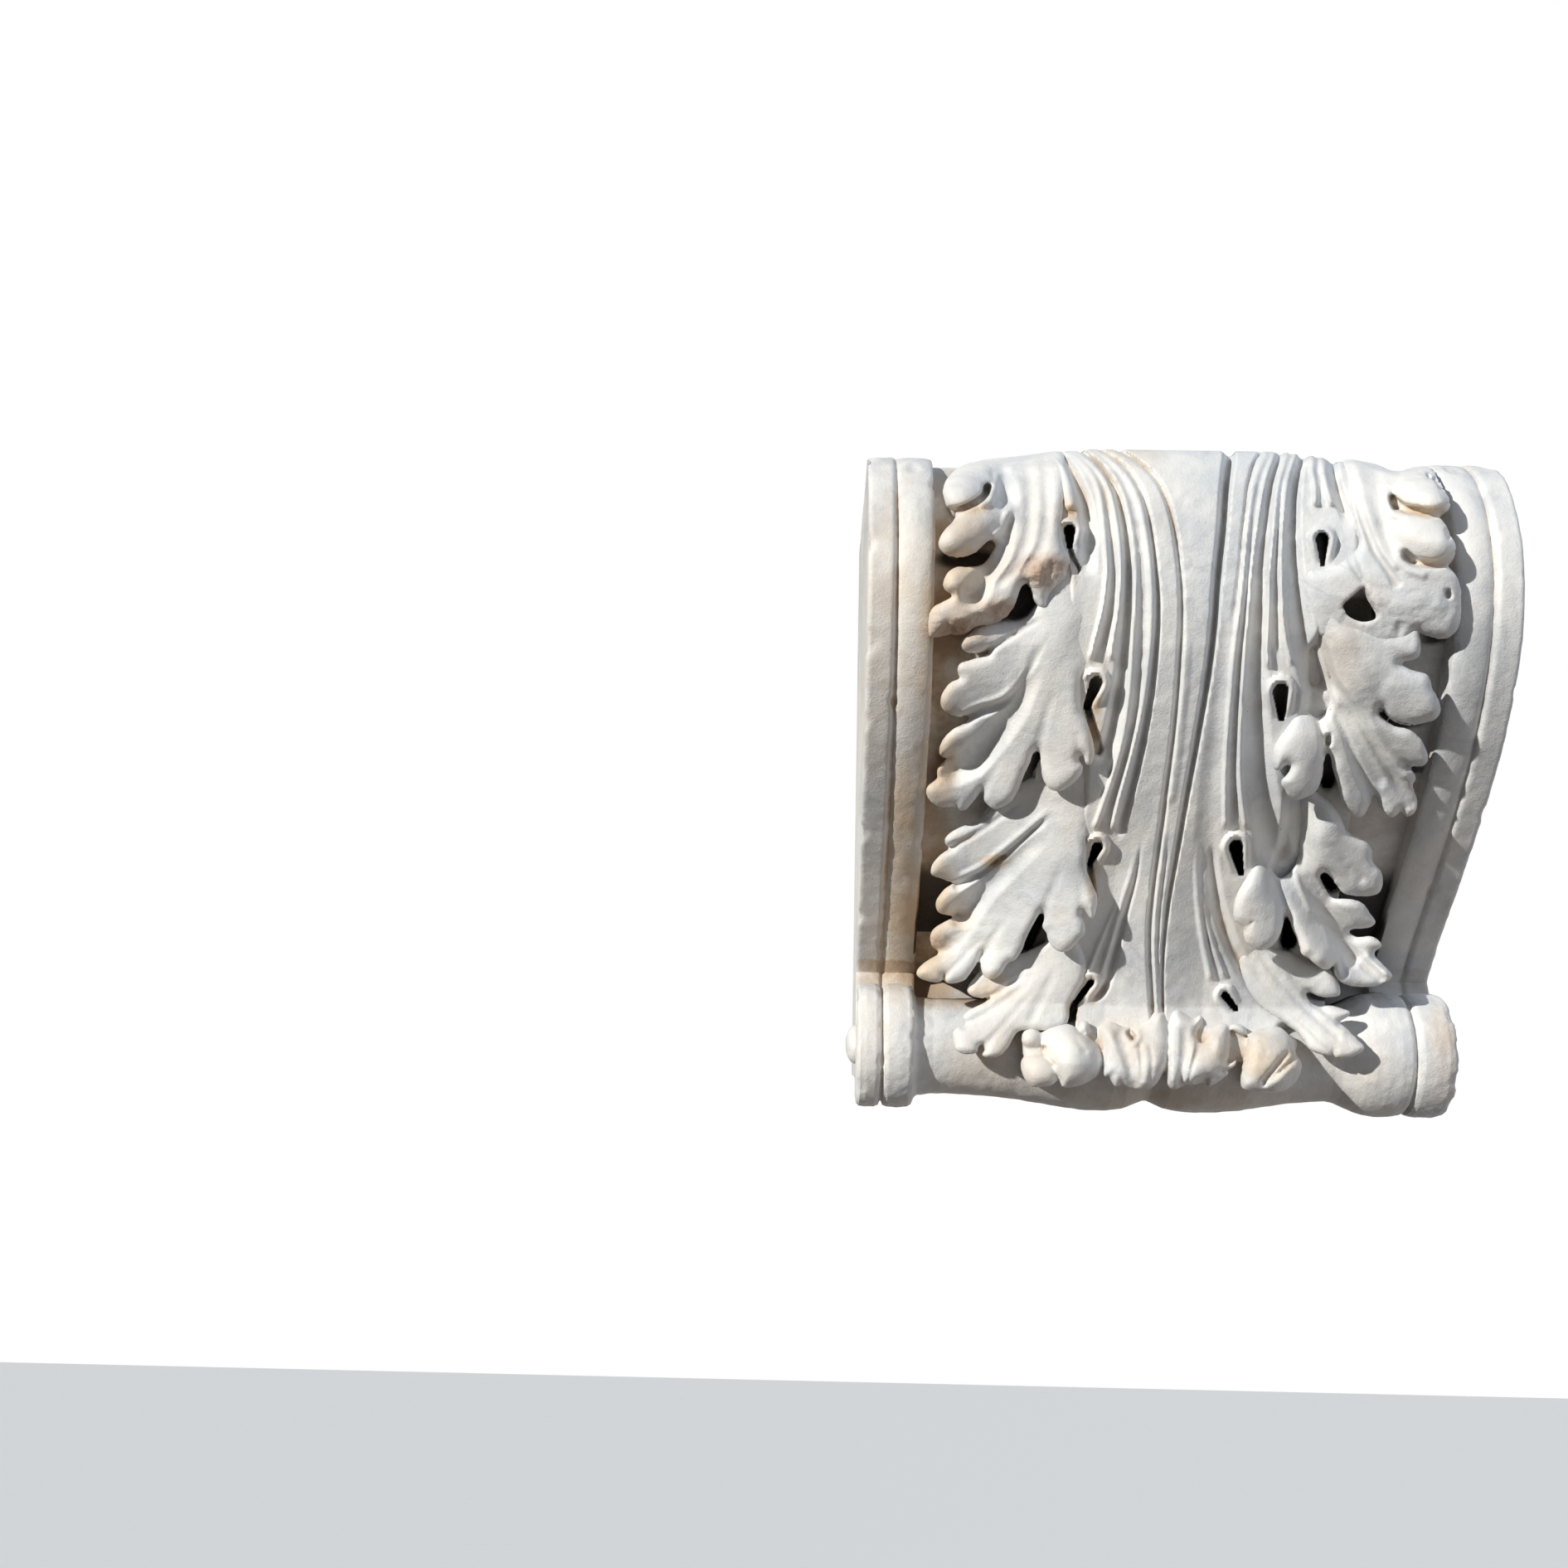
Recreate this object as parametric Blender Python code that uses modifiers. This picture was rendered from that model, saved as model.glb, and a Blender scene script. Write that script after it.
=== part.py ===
# A carved marble corbel: a scroll bracket whose front carries an acanthus leaf.
# The flat back face stands in the XZ plane at Y = 0, centred on the origin.
# The leaf faces -Y, +Z is up and +X is to the right of someone facing the leaf.

import math

import bmesh
import bpy
import numpy as np
from mathutils.kdtree import KDTree

# Driving dimensions, in metres.
WIDTH = 0.350               # between the two side faces
BACK_HEIGHT = 0.352         # flat back face, from the underside to the top face
PROJECTION = 0.273          # back face to the fullest point of the bands
TOP_DEPTH = 0.209           # flat top face, measured at the bands
BELLY_HEIGHT = 0.100        # fullest point of the bands, above the origin
WAIST_DEPTH = 0.092         # back face to the bands where they meet the roll
WAIST_DROP = 0.112          # that meeting point, below the origin

OUTER_BAND = 0.0150         # width of each flat outer band
INNER_BAND = 0.0200         # width of each rounded inner band
BAND_GROOVE = 0.0010        # gap between the two bands of a side
GROOVE_SINK = 0.0005        # the groove's floor, below the bands' rounding
BAND_ROUND = 0.0030         # rounding along the outer bands
INNER_ROUND = 0.0085        # rounding along the inner bands
FIELD_DEPTH = 0.0180        # sunk field behind the leaf, below the bands
FIELD_SLANT = 0.0010        # run of the step down to that field

ROLL_RADIUS = 0.0367        # scroll ends at the side faces
ROLL_AHEAD = 0.020          # the roll's axis stands this far in front of the waist
ROLL_BELOW = 0.044          # and this far under it
ROLL_INSET = 0.0002         # the roll's ends lie this far inside the side faces
RING_ROUND = 0.0040         # rounding of the rings at the roll's ends
NECK_RADIUS = 0.0285        # slim stretch of the roll beside its rings
BULB_RADIUS = 0.0362        # swelling at the middle of the roll
NOTCH_RADIUS = 0.0300       # waist between the two swellings
BOSS_RADIUS = 0.0115        # button at the eye of each side scroll
BOSS_HEIGHT = 0.0060

LEAF_TOP_AHEAD = 0.029      # the leaf's top edge stands out in front of the bands'
LEAF_BEHIND = 0.006         # the midrib's fullest point lies behind the bands'
LEAF_FOOT_AHEAD = 0.063     # the midrib reaches the roll this far before the waist
LEAF_FOOT_BELOW = 0.018     # and this far under it
LEAF_TIP = 0.034            # midrib's run over the roll, below that place
LEAF_TIP_LEAN = 0.006       # how far that run leans forward
LEAF_SIDE_FALL = 0.016      # how far the leaf's lower sides lie behind its midrib
LEAF_SIDE_RISE = 0.011      # how far its upper sides curl out in front of the midrib
BED_SINK = 0.007            # body of the leaf, behind the front of its midrib
MIDRIB_HALF = 0.0135        # half of the midrib's thickness
MIDRIB_SINK = 0.012         # its axis, behind the leaf's front
FINGER_BACK = 0.002         # least half thickness of the stone behind a finger
ROOT_DEPTH = 0.006          # the carving is rooted this far inside the sunk field
EYE_LENGTH = 0.024          # drilled drop between two leaflets
EYE_WIDTH = 0.0095
EYE_DEPTH = 0.026
CUT_SPARE = 0.030           # drills and the saw start this far outside the stone
TOP_SPARE = 0.004           # the carving is sawn off from this far above the top face
TOP_GAP = 0.0004            # the leaf's top edge lies this far under the top face
CARVING_STEP = 0.0026       # grain of the carving's surface
CREVICE_GAP = 0.0003        # two walls that would touch are drawn back by this
SMALLEST_EDGE = 0.00002     # shorter edges are dissolved
CARVING_FACES = 5700        # faces that the carving is thinned to
ROLL_STEPS = 36             # facets around the roll
SKIN_TURNS = 4              # times that the skin is looked over for torn places

ROLL_DEPTH = WAIST_DEPTH + ROLL_AHEAD
ROLL_DROP = WAIST_DROP + ROLL_BELOW
LEAF_TOP_DEPTH = TOP_DEPTH + LEAF_TOP_AHEAD
LEAF_PROJECTION = PROJECTION - LEAF_BEHIND
LEAF_FOOT_DEPTH = WAIST_DEPTH + LEAF_FOOT_AHEAD
LEAF_FOOT_DROP = WAIST_DROP + LEAF_FOOT_BELOW

# The drawing of the leaf. Across is a share of the leaf's half width, up is a share
# of half the back's height, and a thickness is a share of the leaf's half width.
HALF_WIDTH = WIDTH / 2
HALF_HEIGHT = BACK_HEIGHT / 2
LEAF_HALF = HALF_WIDTH - OUTER_BAND - BAND_GROOVE - INNER_BAND

# One full leaflet: each finger's tip as across and down from the leaflet's eye, and
# its thickness. The first four point sideways, the next three form the long lower
# lobe, and the last two form the inner lobe that hangs under the eye.
LEAFLET = (
    (0.56, -0.10, 0.050), (0.61, 0.03, 0.066), (0.60, 0.16, 0.052), (0.60, 0.27, 0.040),
    (0.62, 0.34, 0.056), (0.50, 0.37, 0.050), (0.36, 0.34, 0.058),
    (0.10, 0.25, 0.072), (-0.01, 0.17, 0.036),
)
# The top leaflet curls into three knobs above a short blade, and the lowest one is
# a plain spray that lies on the roll.
TOP_LEAFLET = ((0.46, -0.17, 0.085), (0.47, -0.01, 0.080), (0.45, 0.13, 0.062), (0.50, 0.26, 0.060),
               (0.36, 0.25, 0.058), (0.23, 0.21, 0.058), (0.11, 0.17, 0.058), (0.02, 0.12, 0.050))
LOW_LEAFLET = ((0.47, 0.02, 0.046), (0.50, 0.08, 0.040), (0.50, 0.15, 0.058), (0.38, 0.19, 0.052),
               (0.20, 0.14, 0.050))
# Eye of each leaflet, how far the eye's drop leans outwards at its foot in radians,
# the point that the leaflet's fingers fan out from, and the fingers.
TIERS = (
    ((0.485, 0.66), 0.00, (0.60, 0.97), TOP_LEAFLET),
    ((0.375, 0.19), 0.00, (0.43, 0.50), LEAFLET),
    ((0.300, -0.27), -0.25, (0.36, -0.01), LEAFLET),
    ((0.315, -0.71), -0.65, (0.34, -0.47), LOW_LEAFLET),
)
# Ribs that run down beside the midrib and end at the leaflets' eyes.
RIBS = (
    ((0.13, 0.97), (0.085, 0.70), (0.075, 0.20), (0.085, -0.20), (0.05, -0.70)),
    ((0.31, 0.97), (0.20, 0.70), (0.155, 0.40), (0.20, 0.00), (0.30, -0.19)),
    ((0.43, 0.97), (0.29, 0.64), (0.28, 0.44), (0.375, 0.27)),
    ((0.52, 0.97), (0.48, 0.80)),
    ((0.12, -0.22), (0.17, -0.43), (0.28, -0.63)),
)
RIB_THICKNESS = 0.046
# Lobes of the tip that curls forward over the roll: place across, and thickness.
CURLS = ((0.13, 0.120), (0.48, 0.135))
CURL_TOP = -0.82
CURL_FOOT = -0.93
MIDRIB = ((0.97, 0.16), (0.85, 0.11), (0.60, 0.075), (0.33, 0.040), (0.10, 0.028),
          (-0.20, 0.024), (-0.50, 0.026), (-0.78, 0.030))


def clear_scene():
    for old in list(bpy.data.objects):
        bpy.data.objects.remove(old, do_unlink=True)


def new_collection(name):
    group = bpy.data.collections.new(name)
    bpy.context.scene.collection.children.link(group)
    return group


def marble():
    stone = bpy.data.materials.new("marble")
    stone.use_nodes = True
    shader = stone.node_tree.nodes["Principled BSDF"]
    shader.inputs["Base Color"].default_value = (0.80, 0.79, 0.76, 1.0)
    shader.inputs["Roughness"].default_value = 0.55
    shader.inputs["Metallic"].default_value = 0.0
    return stone


# Curves that give the depth of the bands and of the leaf at each height.

def bezier(start, first, second, end, count):
    points = []
    for i in range(count):
        t = i / (count - 1)
        s = 1 - t
        weights = (s**3, 3 * s * s * t, 3 * s * t * t, t**3)
        corners = (start, first, second, end)
        points.append(tuple(sum(w * c[k] for w, c in zip(weights, corners)) for k in (0, 1)))
    return points


def band_profile(count):
    # From the front edge of the top face, over the belly and in to the waist, as (y, z).
    belly = (-PROJECTION, BELLY_HEIGHT)
    rise = HALF_HEIGHT - BELLY_HEIGHT
    fall = BELLY_HEIGHT + WAIST_DROP
    sink = PROJECTION - WAIST_DEPTH
    crown = bezier((-TOP_DEPTH, HALF_HEIGHT), (-TOP_DEPTH - 0.6 * (PROJECTION - TOP_DEPTH), HALF_HEIGHT),
                   (-PROJECTION, BELLY_HEIGHT + 0.45 * rise), belly, count)
    scroll = bezier(belly, (-PROJECTION, BELLY_HEIGHT - 0.42 * fall),
                    (-WAIST_DEPTH - 0.25 * sink, -WAIST_DROP + 0.24 * fall), (-WAIST_DEPTH, -WAIST_DROP), count)
    return crown + scroll[1:]


def leaf_profile(count):
    belly = (-LEAF_PROJECTION, BELLY_HEIGHT)
    rise = HALF_HEIGHT - BELLY_HEIGHT
    fall = BELLY_HEIGHT + LEAF_FOOT_DROP
    swell = LEAF_PROJECTION - LEAF_TOP_DEPTH
    sink = LEAF_PROJECTION - LEAF_FOOT_DEPTH
    y, z = -LEAF_FOOT_DEPTH, -LEAF_FOOT_DROP
    crown = bezier((-LEAF_TOP_DEPTH, HALF_HEIGHT), (-LEAF_TOP_DEPTH - 0.69 * swell, HALF_HEIGHT - 0.05 * rise),
                   (-LEAF_PROJECTION, BELLY_HEIGHT + 0.45 * rise), belly, count)
    sweep = bezier(belly, (-LEAF_PROJECTION, BELLY_HEIGHT - 0.30 * fall),
                   (y - 0.28 * sink, z + 0.30 * fall), (y, z), count)
    tip = bezier((y, z), (y, z - LEAF_TIP / 3), (y - LEAF_TIP_LEAN / 2, z - LEAF_TIP * 2 / 3),
                 (y - LEAF_TIP_LEAN, z - LEAF_TIP), count)
    return crown + sweep[1:] + tip[1:]


def depth_reader(profile):
    line = sorted(profile, key=lambda point: point[1])
    heights = [point[1] for point in line]
    depths = [point[0] for point in line]
    return lambda z: float(np.interp(z, heights, depths))


band_front = depth_reader(band_profile(24))
leaf_middle = depth_reader(leaf_profile(24))


def leaf_front(x, z):
    # The sides change from standing out to falling back between the belly and the origin.
    share = min(1.0, max(0.0, 1.0 - z / BELLY_HEIGHT))
    share = share * share * (3 - 2 * share)
    side = LEAF_SIDE_FALL * share - LEAF_SIDE_RISE * (1 - share)
    return leaf_middle(z) + side * (x / LEAF_HALF) ** 2


def ground(z):
    # Depth that the carving is rooted at: inside the block, or inside the roll.
    return band_front(z) + FIELD_DEPTH + ROOT_DEPTH if z > -WAIST_DROP else -ROLL_DEPTH


# Building blocks.

def add_object(name, mesh, group):
    item = bpy.data.objects.new(name, mesh)
    group.objects.link(item)
    return item


def side_slab(name, outline, left, right, group):
    # A flat outline drawn in (y, z) and extruded along X from left to right.
    curve = bpy.data.curves.new(name, "CURVE")
    curve.dimensions = "2D"
    curve.fill_mode = "BOTH"
    curve.extrude = (right - left) / 2
    spline = curve.splines.new("POLY")
    spline.points.add(len(outline) - 1)
    for point, (y, z) in zip(spline.points, outline):
        point.co = (y, z, 0.0, 1.0)
    spline.use_cyclic_u = True
    flat = add_object(name + "_curve", curve, group)
    # The curve's own X, Y and Z become the world's Y, Z and X.
    flat.rotation_euler = (math.pi / 2, 0.0, math.pi / 2)
    flat.location = ((left + right) / 2, 0.0, 0.0)
    bpy.context.view_layer.update()
    depsgraph = bpy.context.evaluated_depsgraph_get()
    mesh = bpy.data.meshes.new_from_object(flat.evaluated_get(depsgraph))
    mesh.transform(flat.matrix_world)
    bpy.data.objects.remove(flat, do_unlink=True)
    bm = bmesh.new()
    bm.from_mesh(mesh)
    bmesh.ops.remove_doubles(bm, verts=bm.verts, dist=SMALLEST_EDGE / 2)
    bmesh.ops.recalc_face_normals(bm, faces=bm.faces)
    bm.to_mesh(mesh)
    bm.free()
    return add_object(name, mesh, group)


def loft(bm, sections):
    # A closed skin over rings of points that all have the same number of corners.
    rings = [[bm.verts.new(corner) for corner in ring] for ring in sections]
    count = len(rings[0])
    for low, high in zip(rings, rings[1:]):
        for k in range(count):
            bm.faces.new((low[k], low[(k + 1) % count], high[(k + 1) % count], high[k]))
    bm.faces.new(list(reversed(rings[0])))
    bm.faces.new(rings[-1])


def stroke(bm, path, widths, centre, heights, corners=12, square=2.0):
    # A carved stroke: the path lies in (x, z), the half widths lie across it in that
    # plane, and the half heights along Y about the centre depth of each point.
    path = np.asarray(path)
    tangents = np.gradient(path, axis=0)
    tangents /= np.linalg.norm(tangents, axis=1)[:, None]
    sections = []
    for (x, z), (tx, tz), width, depth, height in zip(path, tangents, widths, centre, heights):
        ring = []
        for k in range(corners):
            angle = 2 * math.pi * k / corners
            c, s = math.cos(angle), math.sin(angle)
            c = math.copysign(abs(c) ** (2 / square), c)
            s = math.copysign(abs(s) ** (2 / square), s)
            ring.append((x + tz * width * c, depth + height * s, z - tx * width * c))
        sections.append(ring)
    loft(bm, sections)


def round_end(path, radius, count=4):
    # Carries a path on past its last point in steps that close it like a ball.
    path = list(path)
    (x0, z0), (x1, z1) = path[-2], path[-1]
    length = math.hypot(x1 - x0, z1 - z0)
    step = ((x1 - x0) / length, (z1 - z0) / length)
    shares = []
    for i in range(1, count + 1):
        angle = 0.5 * math.pi * i / (count + 0.25)
        shares.append(math.cos(angle))
        path.append((x1 + step[0] * radius * math.sin(angle), z1 + step[1] * radius * math.sin(angle)))
    return path, shares


def spot(across, up):
    return across * LEAF_HALF, up * HALF_HEIGHT


def bend(root, tip, count=9):
    # Fingers leave the leaf's fan point downwards and turn outwards to their tips.
    dx, dz = tip[0] - root[0], tip[1] - root[1]
    knee = (root[0] + 0.33 * dx, root[1] + 0.62 * dz)
    path = []
    for i in range(count):
        t = i / (count - 1)
        s = 1 - t
        path.append(tuple(s * s * root[k] + 2 * s * t * knee[k] + t * t * tip[k] for k in (0, 1)))
    return path


def finger(bm, root, tip, radius):
    # The tip point is the finger's very end, so the rounding starts a radius short of it.
    dx, dz = tip[0] - root[0], tip[1] - root[1]
    reach = math.hypot(dx, dz)
    short = (tip[0] - dx / reach * radius * 0.9, tip[1] - dz / reach * radius * 0.9)
    path = bend(root, short)
    widths = [radius * (0.55 + 0.45 * i / (len(path) - 1)) for i in range(len(path))]
    path, shares = round_end(path, radius)
    widths += [radius * share for share in shares]
    heights = [0.85 * width for width in widths]
    lifts = [0.25 * radius * max(0.0, (i - 3) / (len(path) - 4)) for i in range(len(path))]
    centre = [leaf_front(x, z) + 0.85 * radius - lift for (x, z), lift in zip(path, lifts)]
    stroke(bm, path, widths, centre, heights)
    # The stone behind the finger, stepping back a little from its outline.
    stem = path[:-3]
    back = [ground(z) for x, z in stem]
    middle = [(c + b) / 2 for c, b in zip(centre, back)]
    half = [max(FINGER_BACK, (b - c) / 2) for c, b in zip(centre, back)]
    stroke(bm, stem, [0.86 * width for width in widths[:len(stem)]], middle, half, square=5.0)


def rib(bm, path, thickness):
    dense = []
    for (x0, z0), (x1, z1) in zip(path, path[1:]):
        for i in range(4):
            t = i / 4
            dense.append((x0 + (x1 - x0) * t, z0 + (z1 - z0) * t))
    dense.append(path[-1])
    smooth = np.asarray(dense)
    for _ in range(6):
        smooth[1:-1] = 0.25 * smooth[:-2] + 0.5 * smooth[1:-1] + 0.25 * smooth[2:]
    widths = [thickness] * len(smooth)
    centre = [leaf_front(x, z) + 0.6 * thickness for x, z in smooth]
    stroke(bm, smooth, widths, centre, [1.1 * thickness] * len(smooth))


def midrib(bm):
    path = [spot(0.0, up) for up, half in MIDRIB]
    widths = [half * LEAF_HALF for up, half in MIDRIB]
    centre = [leaf_front(x, z) + MIDRIB_SINK for x, z in path]
    stroke(bm, path, widths, centre, [MIDRIB_HALF] * len(path), square=6.0)


def leaf_bed(group):
    # The body of the leaf under its ribs, a slab that follows the midrib's curve.
    top = HALF_HEIGHT + TOP_SPARE
    line = [(y + BED_SINK, z) for y, z in leaf_profile(14)]
    line = [(line[0][0], top)] + line
    outline = line + [(-ROLL_DEPTH, line[-1][1]), (-WAIST_DEPTH * 0.8, -WAIST_DROP),
                      (-TOP_DEPTH * 0.8, BELLY_HEIGHT), (-TOP_DEPTH * 0.8, top)]
    return side_slab("leaf_bed", outline, -0.47 * LEAF_HALF, 0.47 * LEAF_HALF, group)


def carve_leaf(group):
    bed = leaf_bed(group)
    bm = bmesh.new()
    bm.from_mesh(bed.data)
    bpy.data.objects.remove(bed, do_unlink=True)
    for side in (-1, 1):
        for eye, lean, fan, fingers in TIERS:
            for across, down, thickness in fingers:
                root = spot(side * fan[0], fan[1])
                tip = spot(side * (eye[0] + across), eye[1] - down)
                finger(bm, root, tip, thickness * LEAF_HALF)
        for line in RIBS:
            rib(bm, [spot(side * across, up) for across, up in line], RIB_THICKNESS * LEAF_HALF)
        for across, thickness in CURLS:
            radius = thickness * LEAF_HALF
            top, foot = spot(side * across, CURL_TOP), spot(side * across, CURL_FOOT)
            path = [tuple(top[k] + (foot[k] - top[k]) * i / 3 for k in (0, 1)) for i in range(4)]
            path, shares = round_end(path, 0.6 * radius)
            widths = [0.8 * radius, 0.95 * radius, radius, radius] + [radius * share for share in shares]
            centre = [leaf_front(0.0, z) + 0.55 * radius for x, z in path]
            stroke(bm, path, widths, centre, widths)
    midrib(bm)
    bmesh.ops.recalc_face_normals(bm, faces=bm.faces)
    mesh = bpy.data.meshes.new("carving")
    bm.to_mesh(mesh)
    bm.free()
    carving = add_object("carving", mesh, group)
    grain = carving.modifiers.new("grain", "REMESH")
    grain.mode = "VOXEL"
    grain.voxel_size = CARVING_STEP
    return carving


# The block: the side outline is carried across the width and sinks at the grooves.

def side_outline(sink):
    front = [(y + sink, z) for y, z in band_profile(13)]
    return front + [(-ROLL_DEPTH, -ROLL_DROP), (-ROLL_DEPTH + 0.6 * ROLL_RADIUS, -HALF_HEIGHT),
                    (0.0, -HALF_HEIGHT), (0.0, HALF_HEIGHT)]


def half_section():
    # From a side face inwards, as (x, how far the front lies behind the bands).
    outer = HALF_WIDTH - OUTER_BAND
    inner = outer - BAND_GROOVE
    edge = inner - INNER_BAND
    middle = (inner + edge) / 2
    groove = BAND_ROUND + GROOVE_SINK
    rows = [(HALF_WIDTH, BAND_ROUND), (HALF_WIDTH - 0.3 * BAND_ROUND, 0.3 * BAND_ROUND),
            (HALF_WIDTH - BAND_ROUND, 0.0), (outer + BAND_ROUND, 0.0),
            (outer + 0.3 * BAND_ROUND, 0.3 * BAND_ROUND), (outer, groove), (inner, groove)]
    half = INNER_BAND / 2
    for share in (0.85, 0.5, 0.0, -0.5, -0.85):
        rows.append((middle + share * half, INNER_ROUND * (1 - math.sqrt(1 - (0.75 * share) ** 2))))
    rows.append((edge, groove))
    rows.append((edge - FIELD_SLANT, FIELD_DEPTH))
    return rows


def carve_block(group):
    right = half_section()
    stations = right + [(-x, sink) for x, sink in reversed(right)]
    sections = [[(x, y, z) for y, z in side_outline(sink)] for x, sink in stations]
    bm = bmesh.new()
    loft(bm, sections)
    bmesh.ops.recalc_face_normals(bm, faces=bm.faces)
    mesh = bpy.data.meshes.new("block")
    bm.to_mesh(mesh)
    bm.free()
    return add_object("block", mesh, group)


def roll_profile():
    # Half of the roll from a side face to its middle, as (place across, radius).
    end = HALF_WIDTH - ROLL_INSET
    outer = HALF_WIDTH - OUTER_BAND
    edge = outer - BAND_GROOVE - INNER_BAND
    ring, crest = RING_ROUND, ROLL_RADIUS
    return [
        (end, 0.0), (end, crest - 0.9 * ring), (end - 0.25 * ring, crest - 0.2 * ring),
        (HALF_WIDTH - ring, crest), (outer + ring, crest - 0.1 * ring), (outer, crest - ring),
        (outer - 0.75 * ring, crest - 0.2 * ring), (outer - 0.45 * INNER_BAND, crest),
        (edge + 0.15 * INNER_BAND, crest - 0.4 * ring), (edge, crest - 1.1 * ring),
        (edge - 0.3 * INNER_BAND, NECK_RADIUS + 0.7 * ring), (edge - 0.9 * INNER_BAND, NECK_RADIUS),
        (0.60 * edge, NECK_RADIUS + 0.4 * ring), (0.40 * edge, BULB_RADIUS - 0.6 * ring),
        (0.27 * edge, BULB_RADIUS), (0.12 * edge, BULB_RADIUS - 0.25 * ring),
        (0.04 * edge, NOTCH_RADIUS + 0.4 * ring), (0.0, NOTCH_RADIUS),
    ]


def turn_roll(group):
    half = roll_profile()
    line = half + [(-x, radius) for x, radius in reversed(half[:-1])]
    bm = bmesh.new()
    # The profile stands at +X and runs from top to bottom; X is the radius here.
    verts = [bm.verts.new((radius, 0.0, x)) for x, radius in line]
    for low, high in zip(verts, verts[1:]):
        bm.edges.new((low, high))
    mesh = bpy.data.meshes.new("roll")
    bm.to_mesh(mesh)
    bm.free()
    roll = add_object("roll", mesh, group)
    turn = roll.modifiers.new("turn", "SCREW")
    turn.axis = "Z"
    turn.steps = ROLL_STEPS
    turn.render_steps = ROLL_STEPS
    turn.use_merge_vertices = True
    turn.merge_threshold = SMALLEST_EDGE
    roll.rotation_euler = (0.0, math.pi / 2, 0.0)
    roll.location = (0.0, -ROLL_DEPTH, -ROLL_DROP)
    return roll


def boss(name, side, group):
    # A low button, a ball flattened along X, at the middle of a side scroll.
    bpy.ops.mesh.primitive_uv_sphere_add(segments=20, ring_count=10, radius=BOSS_RADIUS)
    button = bpy.context.active_object
    button.name = name
    for other in list(button.users_collection):
        other.objects.unlink(button)
    group.objects.link(button)
    button.data.transform(button.matrix_world)
    for corner in button.data.vertices:
        corner.co.x = corner.co.x * BOSS_HEIGHT / BOSS_RADIUS + side * HALF_WIDTH
        corner.co.y -= ROLL_DEPTH
        corner.co.z -= ROLL_DROP
    button.data.update()
    return button


def eye_drill(name, across, up, lean, group):
    # A drop with a round head and a pointed foot, sunk straight back into the leaf.
    x, z = spot(across, up)
    half, length = EYE_WIDTH / 2, EYE_LENGTH
    ring = []
    for i in range(9):
        angle = math.pi * i / 8
        ring.append((half * math.cos(angle), length / 2 - half + half * math.sin(angle)))
    ring.append((0.0, -length / 2))
    c, s = math.cos(lean), math.sin(lean)
    front = leaf_front(x, z) - CUT_SPARE
    back = leaf_front(x, z) + EYE_DEPTH
    bm = bmesh.new()
    sections = []
    for depth in (front, back):
        sections.append([(x + px * c - pz * s, depth, z + px * s + pz * c) for px, pz in ring])
    loft(bm, sections)
    bmesh.ops.recalc_face_normals(bm, faces=bm.faces)
    mesh = bpy.data.meshes.new(name)
    bm.to_mesh(mesh)
    bm.free()
    return add_object(name, mesh, group)


def as_guide(item):
    item.hide_render = True
    item.display_type = "WIRE"
    return item


def settle(item):
    # Replaces an object's mesh by what its modifiers make of it, in world space.
    bpy.context.view_layer.update()
    depsgraph = bpy.context.evaluated_depsgraph_get()
    mesh = bpy.data.meshes.new_from_object(item.evaluated_get(depsgraph))
    mesh.transform(item.matrix_world)
    item.modifiers.clear()
    item.data = mesh
    item.matrix_world.identity()
    return item


def weld(item, distance):
    bm = bmesh.new()
    bm.from_mesh(item.data)
    bmesh.ops.remove_doubles(bm, verts=bm.verts, dist=distance)
    bmesh.ops.recalc_face_normals(bm, faces=bm.faces)
    bm.to_mesh(item.data)
    bm.free()
    return item


def part_touching(item):
    # Two walls of a crevice can meet in a corner: each is drawn back into its stone.
    bm = bmesh.new()
    bm.from_mesh(item.data)
    bmesh.ops.triangulate(bm, faces=bm.faces)
    bmesh.ops.dissolve_degenerate(bm, dist=SMALLEST_EDGE, edges=bm.edges)
    bmesh.ops.triangulate(bm, faces=bm.faces)
    bm.normal_update()
    tree = KDTree(len(bm.verts))
    for number, vert in enumerate(bm.verts):
        tree.insert(vert.co, number)
    tree.balance()
    touching = [vert for vert in bm.verts if len(tree.find_range(vert.co, SMALLEST_EDGE / 2)) > 1]
    for vert in touching:
        vert.co -= vert.normal * CREVICE_GAP
    bm.to_mesh(item.data)
    bm.free()


def close_skin(item):
    # Where the skin pinches itself or misses a chip, the faces around that place are
    # taken out and the ring that is left is closed again.
    bm = bmesh.new()
    bm.from_mesh(item.data)
    for turn in range(SKIN_TURNS):
        torn = {vert for edge in bm.edges if len(edge.link_faces) != 2 for vert in edge.verts}
        if not torn:
            break
        around = {face for vert in torn for face in vert.link_faces}
        bmesh.ops.delete(bm, geom=list(around), context="FACES")
        rim = [edge for edge in bm.edges if len(edge.link_faces) == 1]
        patch = bmesh.ops.holes_fill(bm, edges=rim, sides=0)["faces"]
        bmesh.ops.triangulate(bm, faces=patch, ngon_method="BEAUTY")
    bmesh.ops.recalc_face_normals(bm, faces=bm.faces)
    bm.to_mesh(item.data)
    bm.free()


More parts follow.
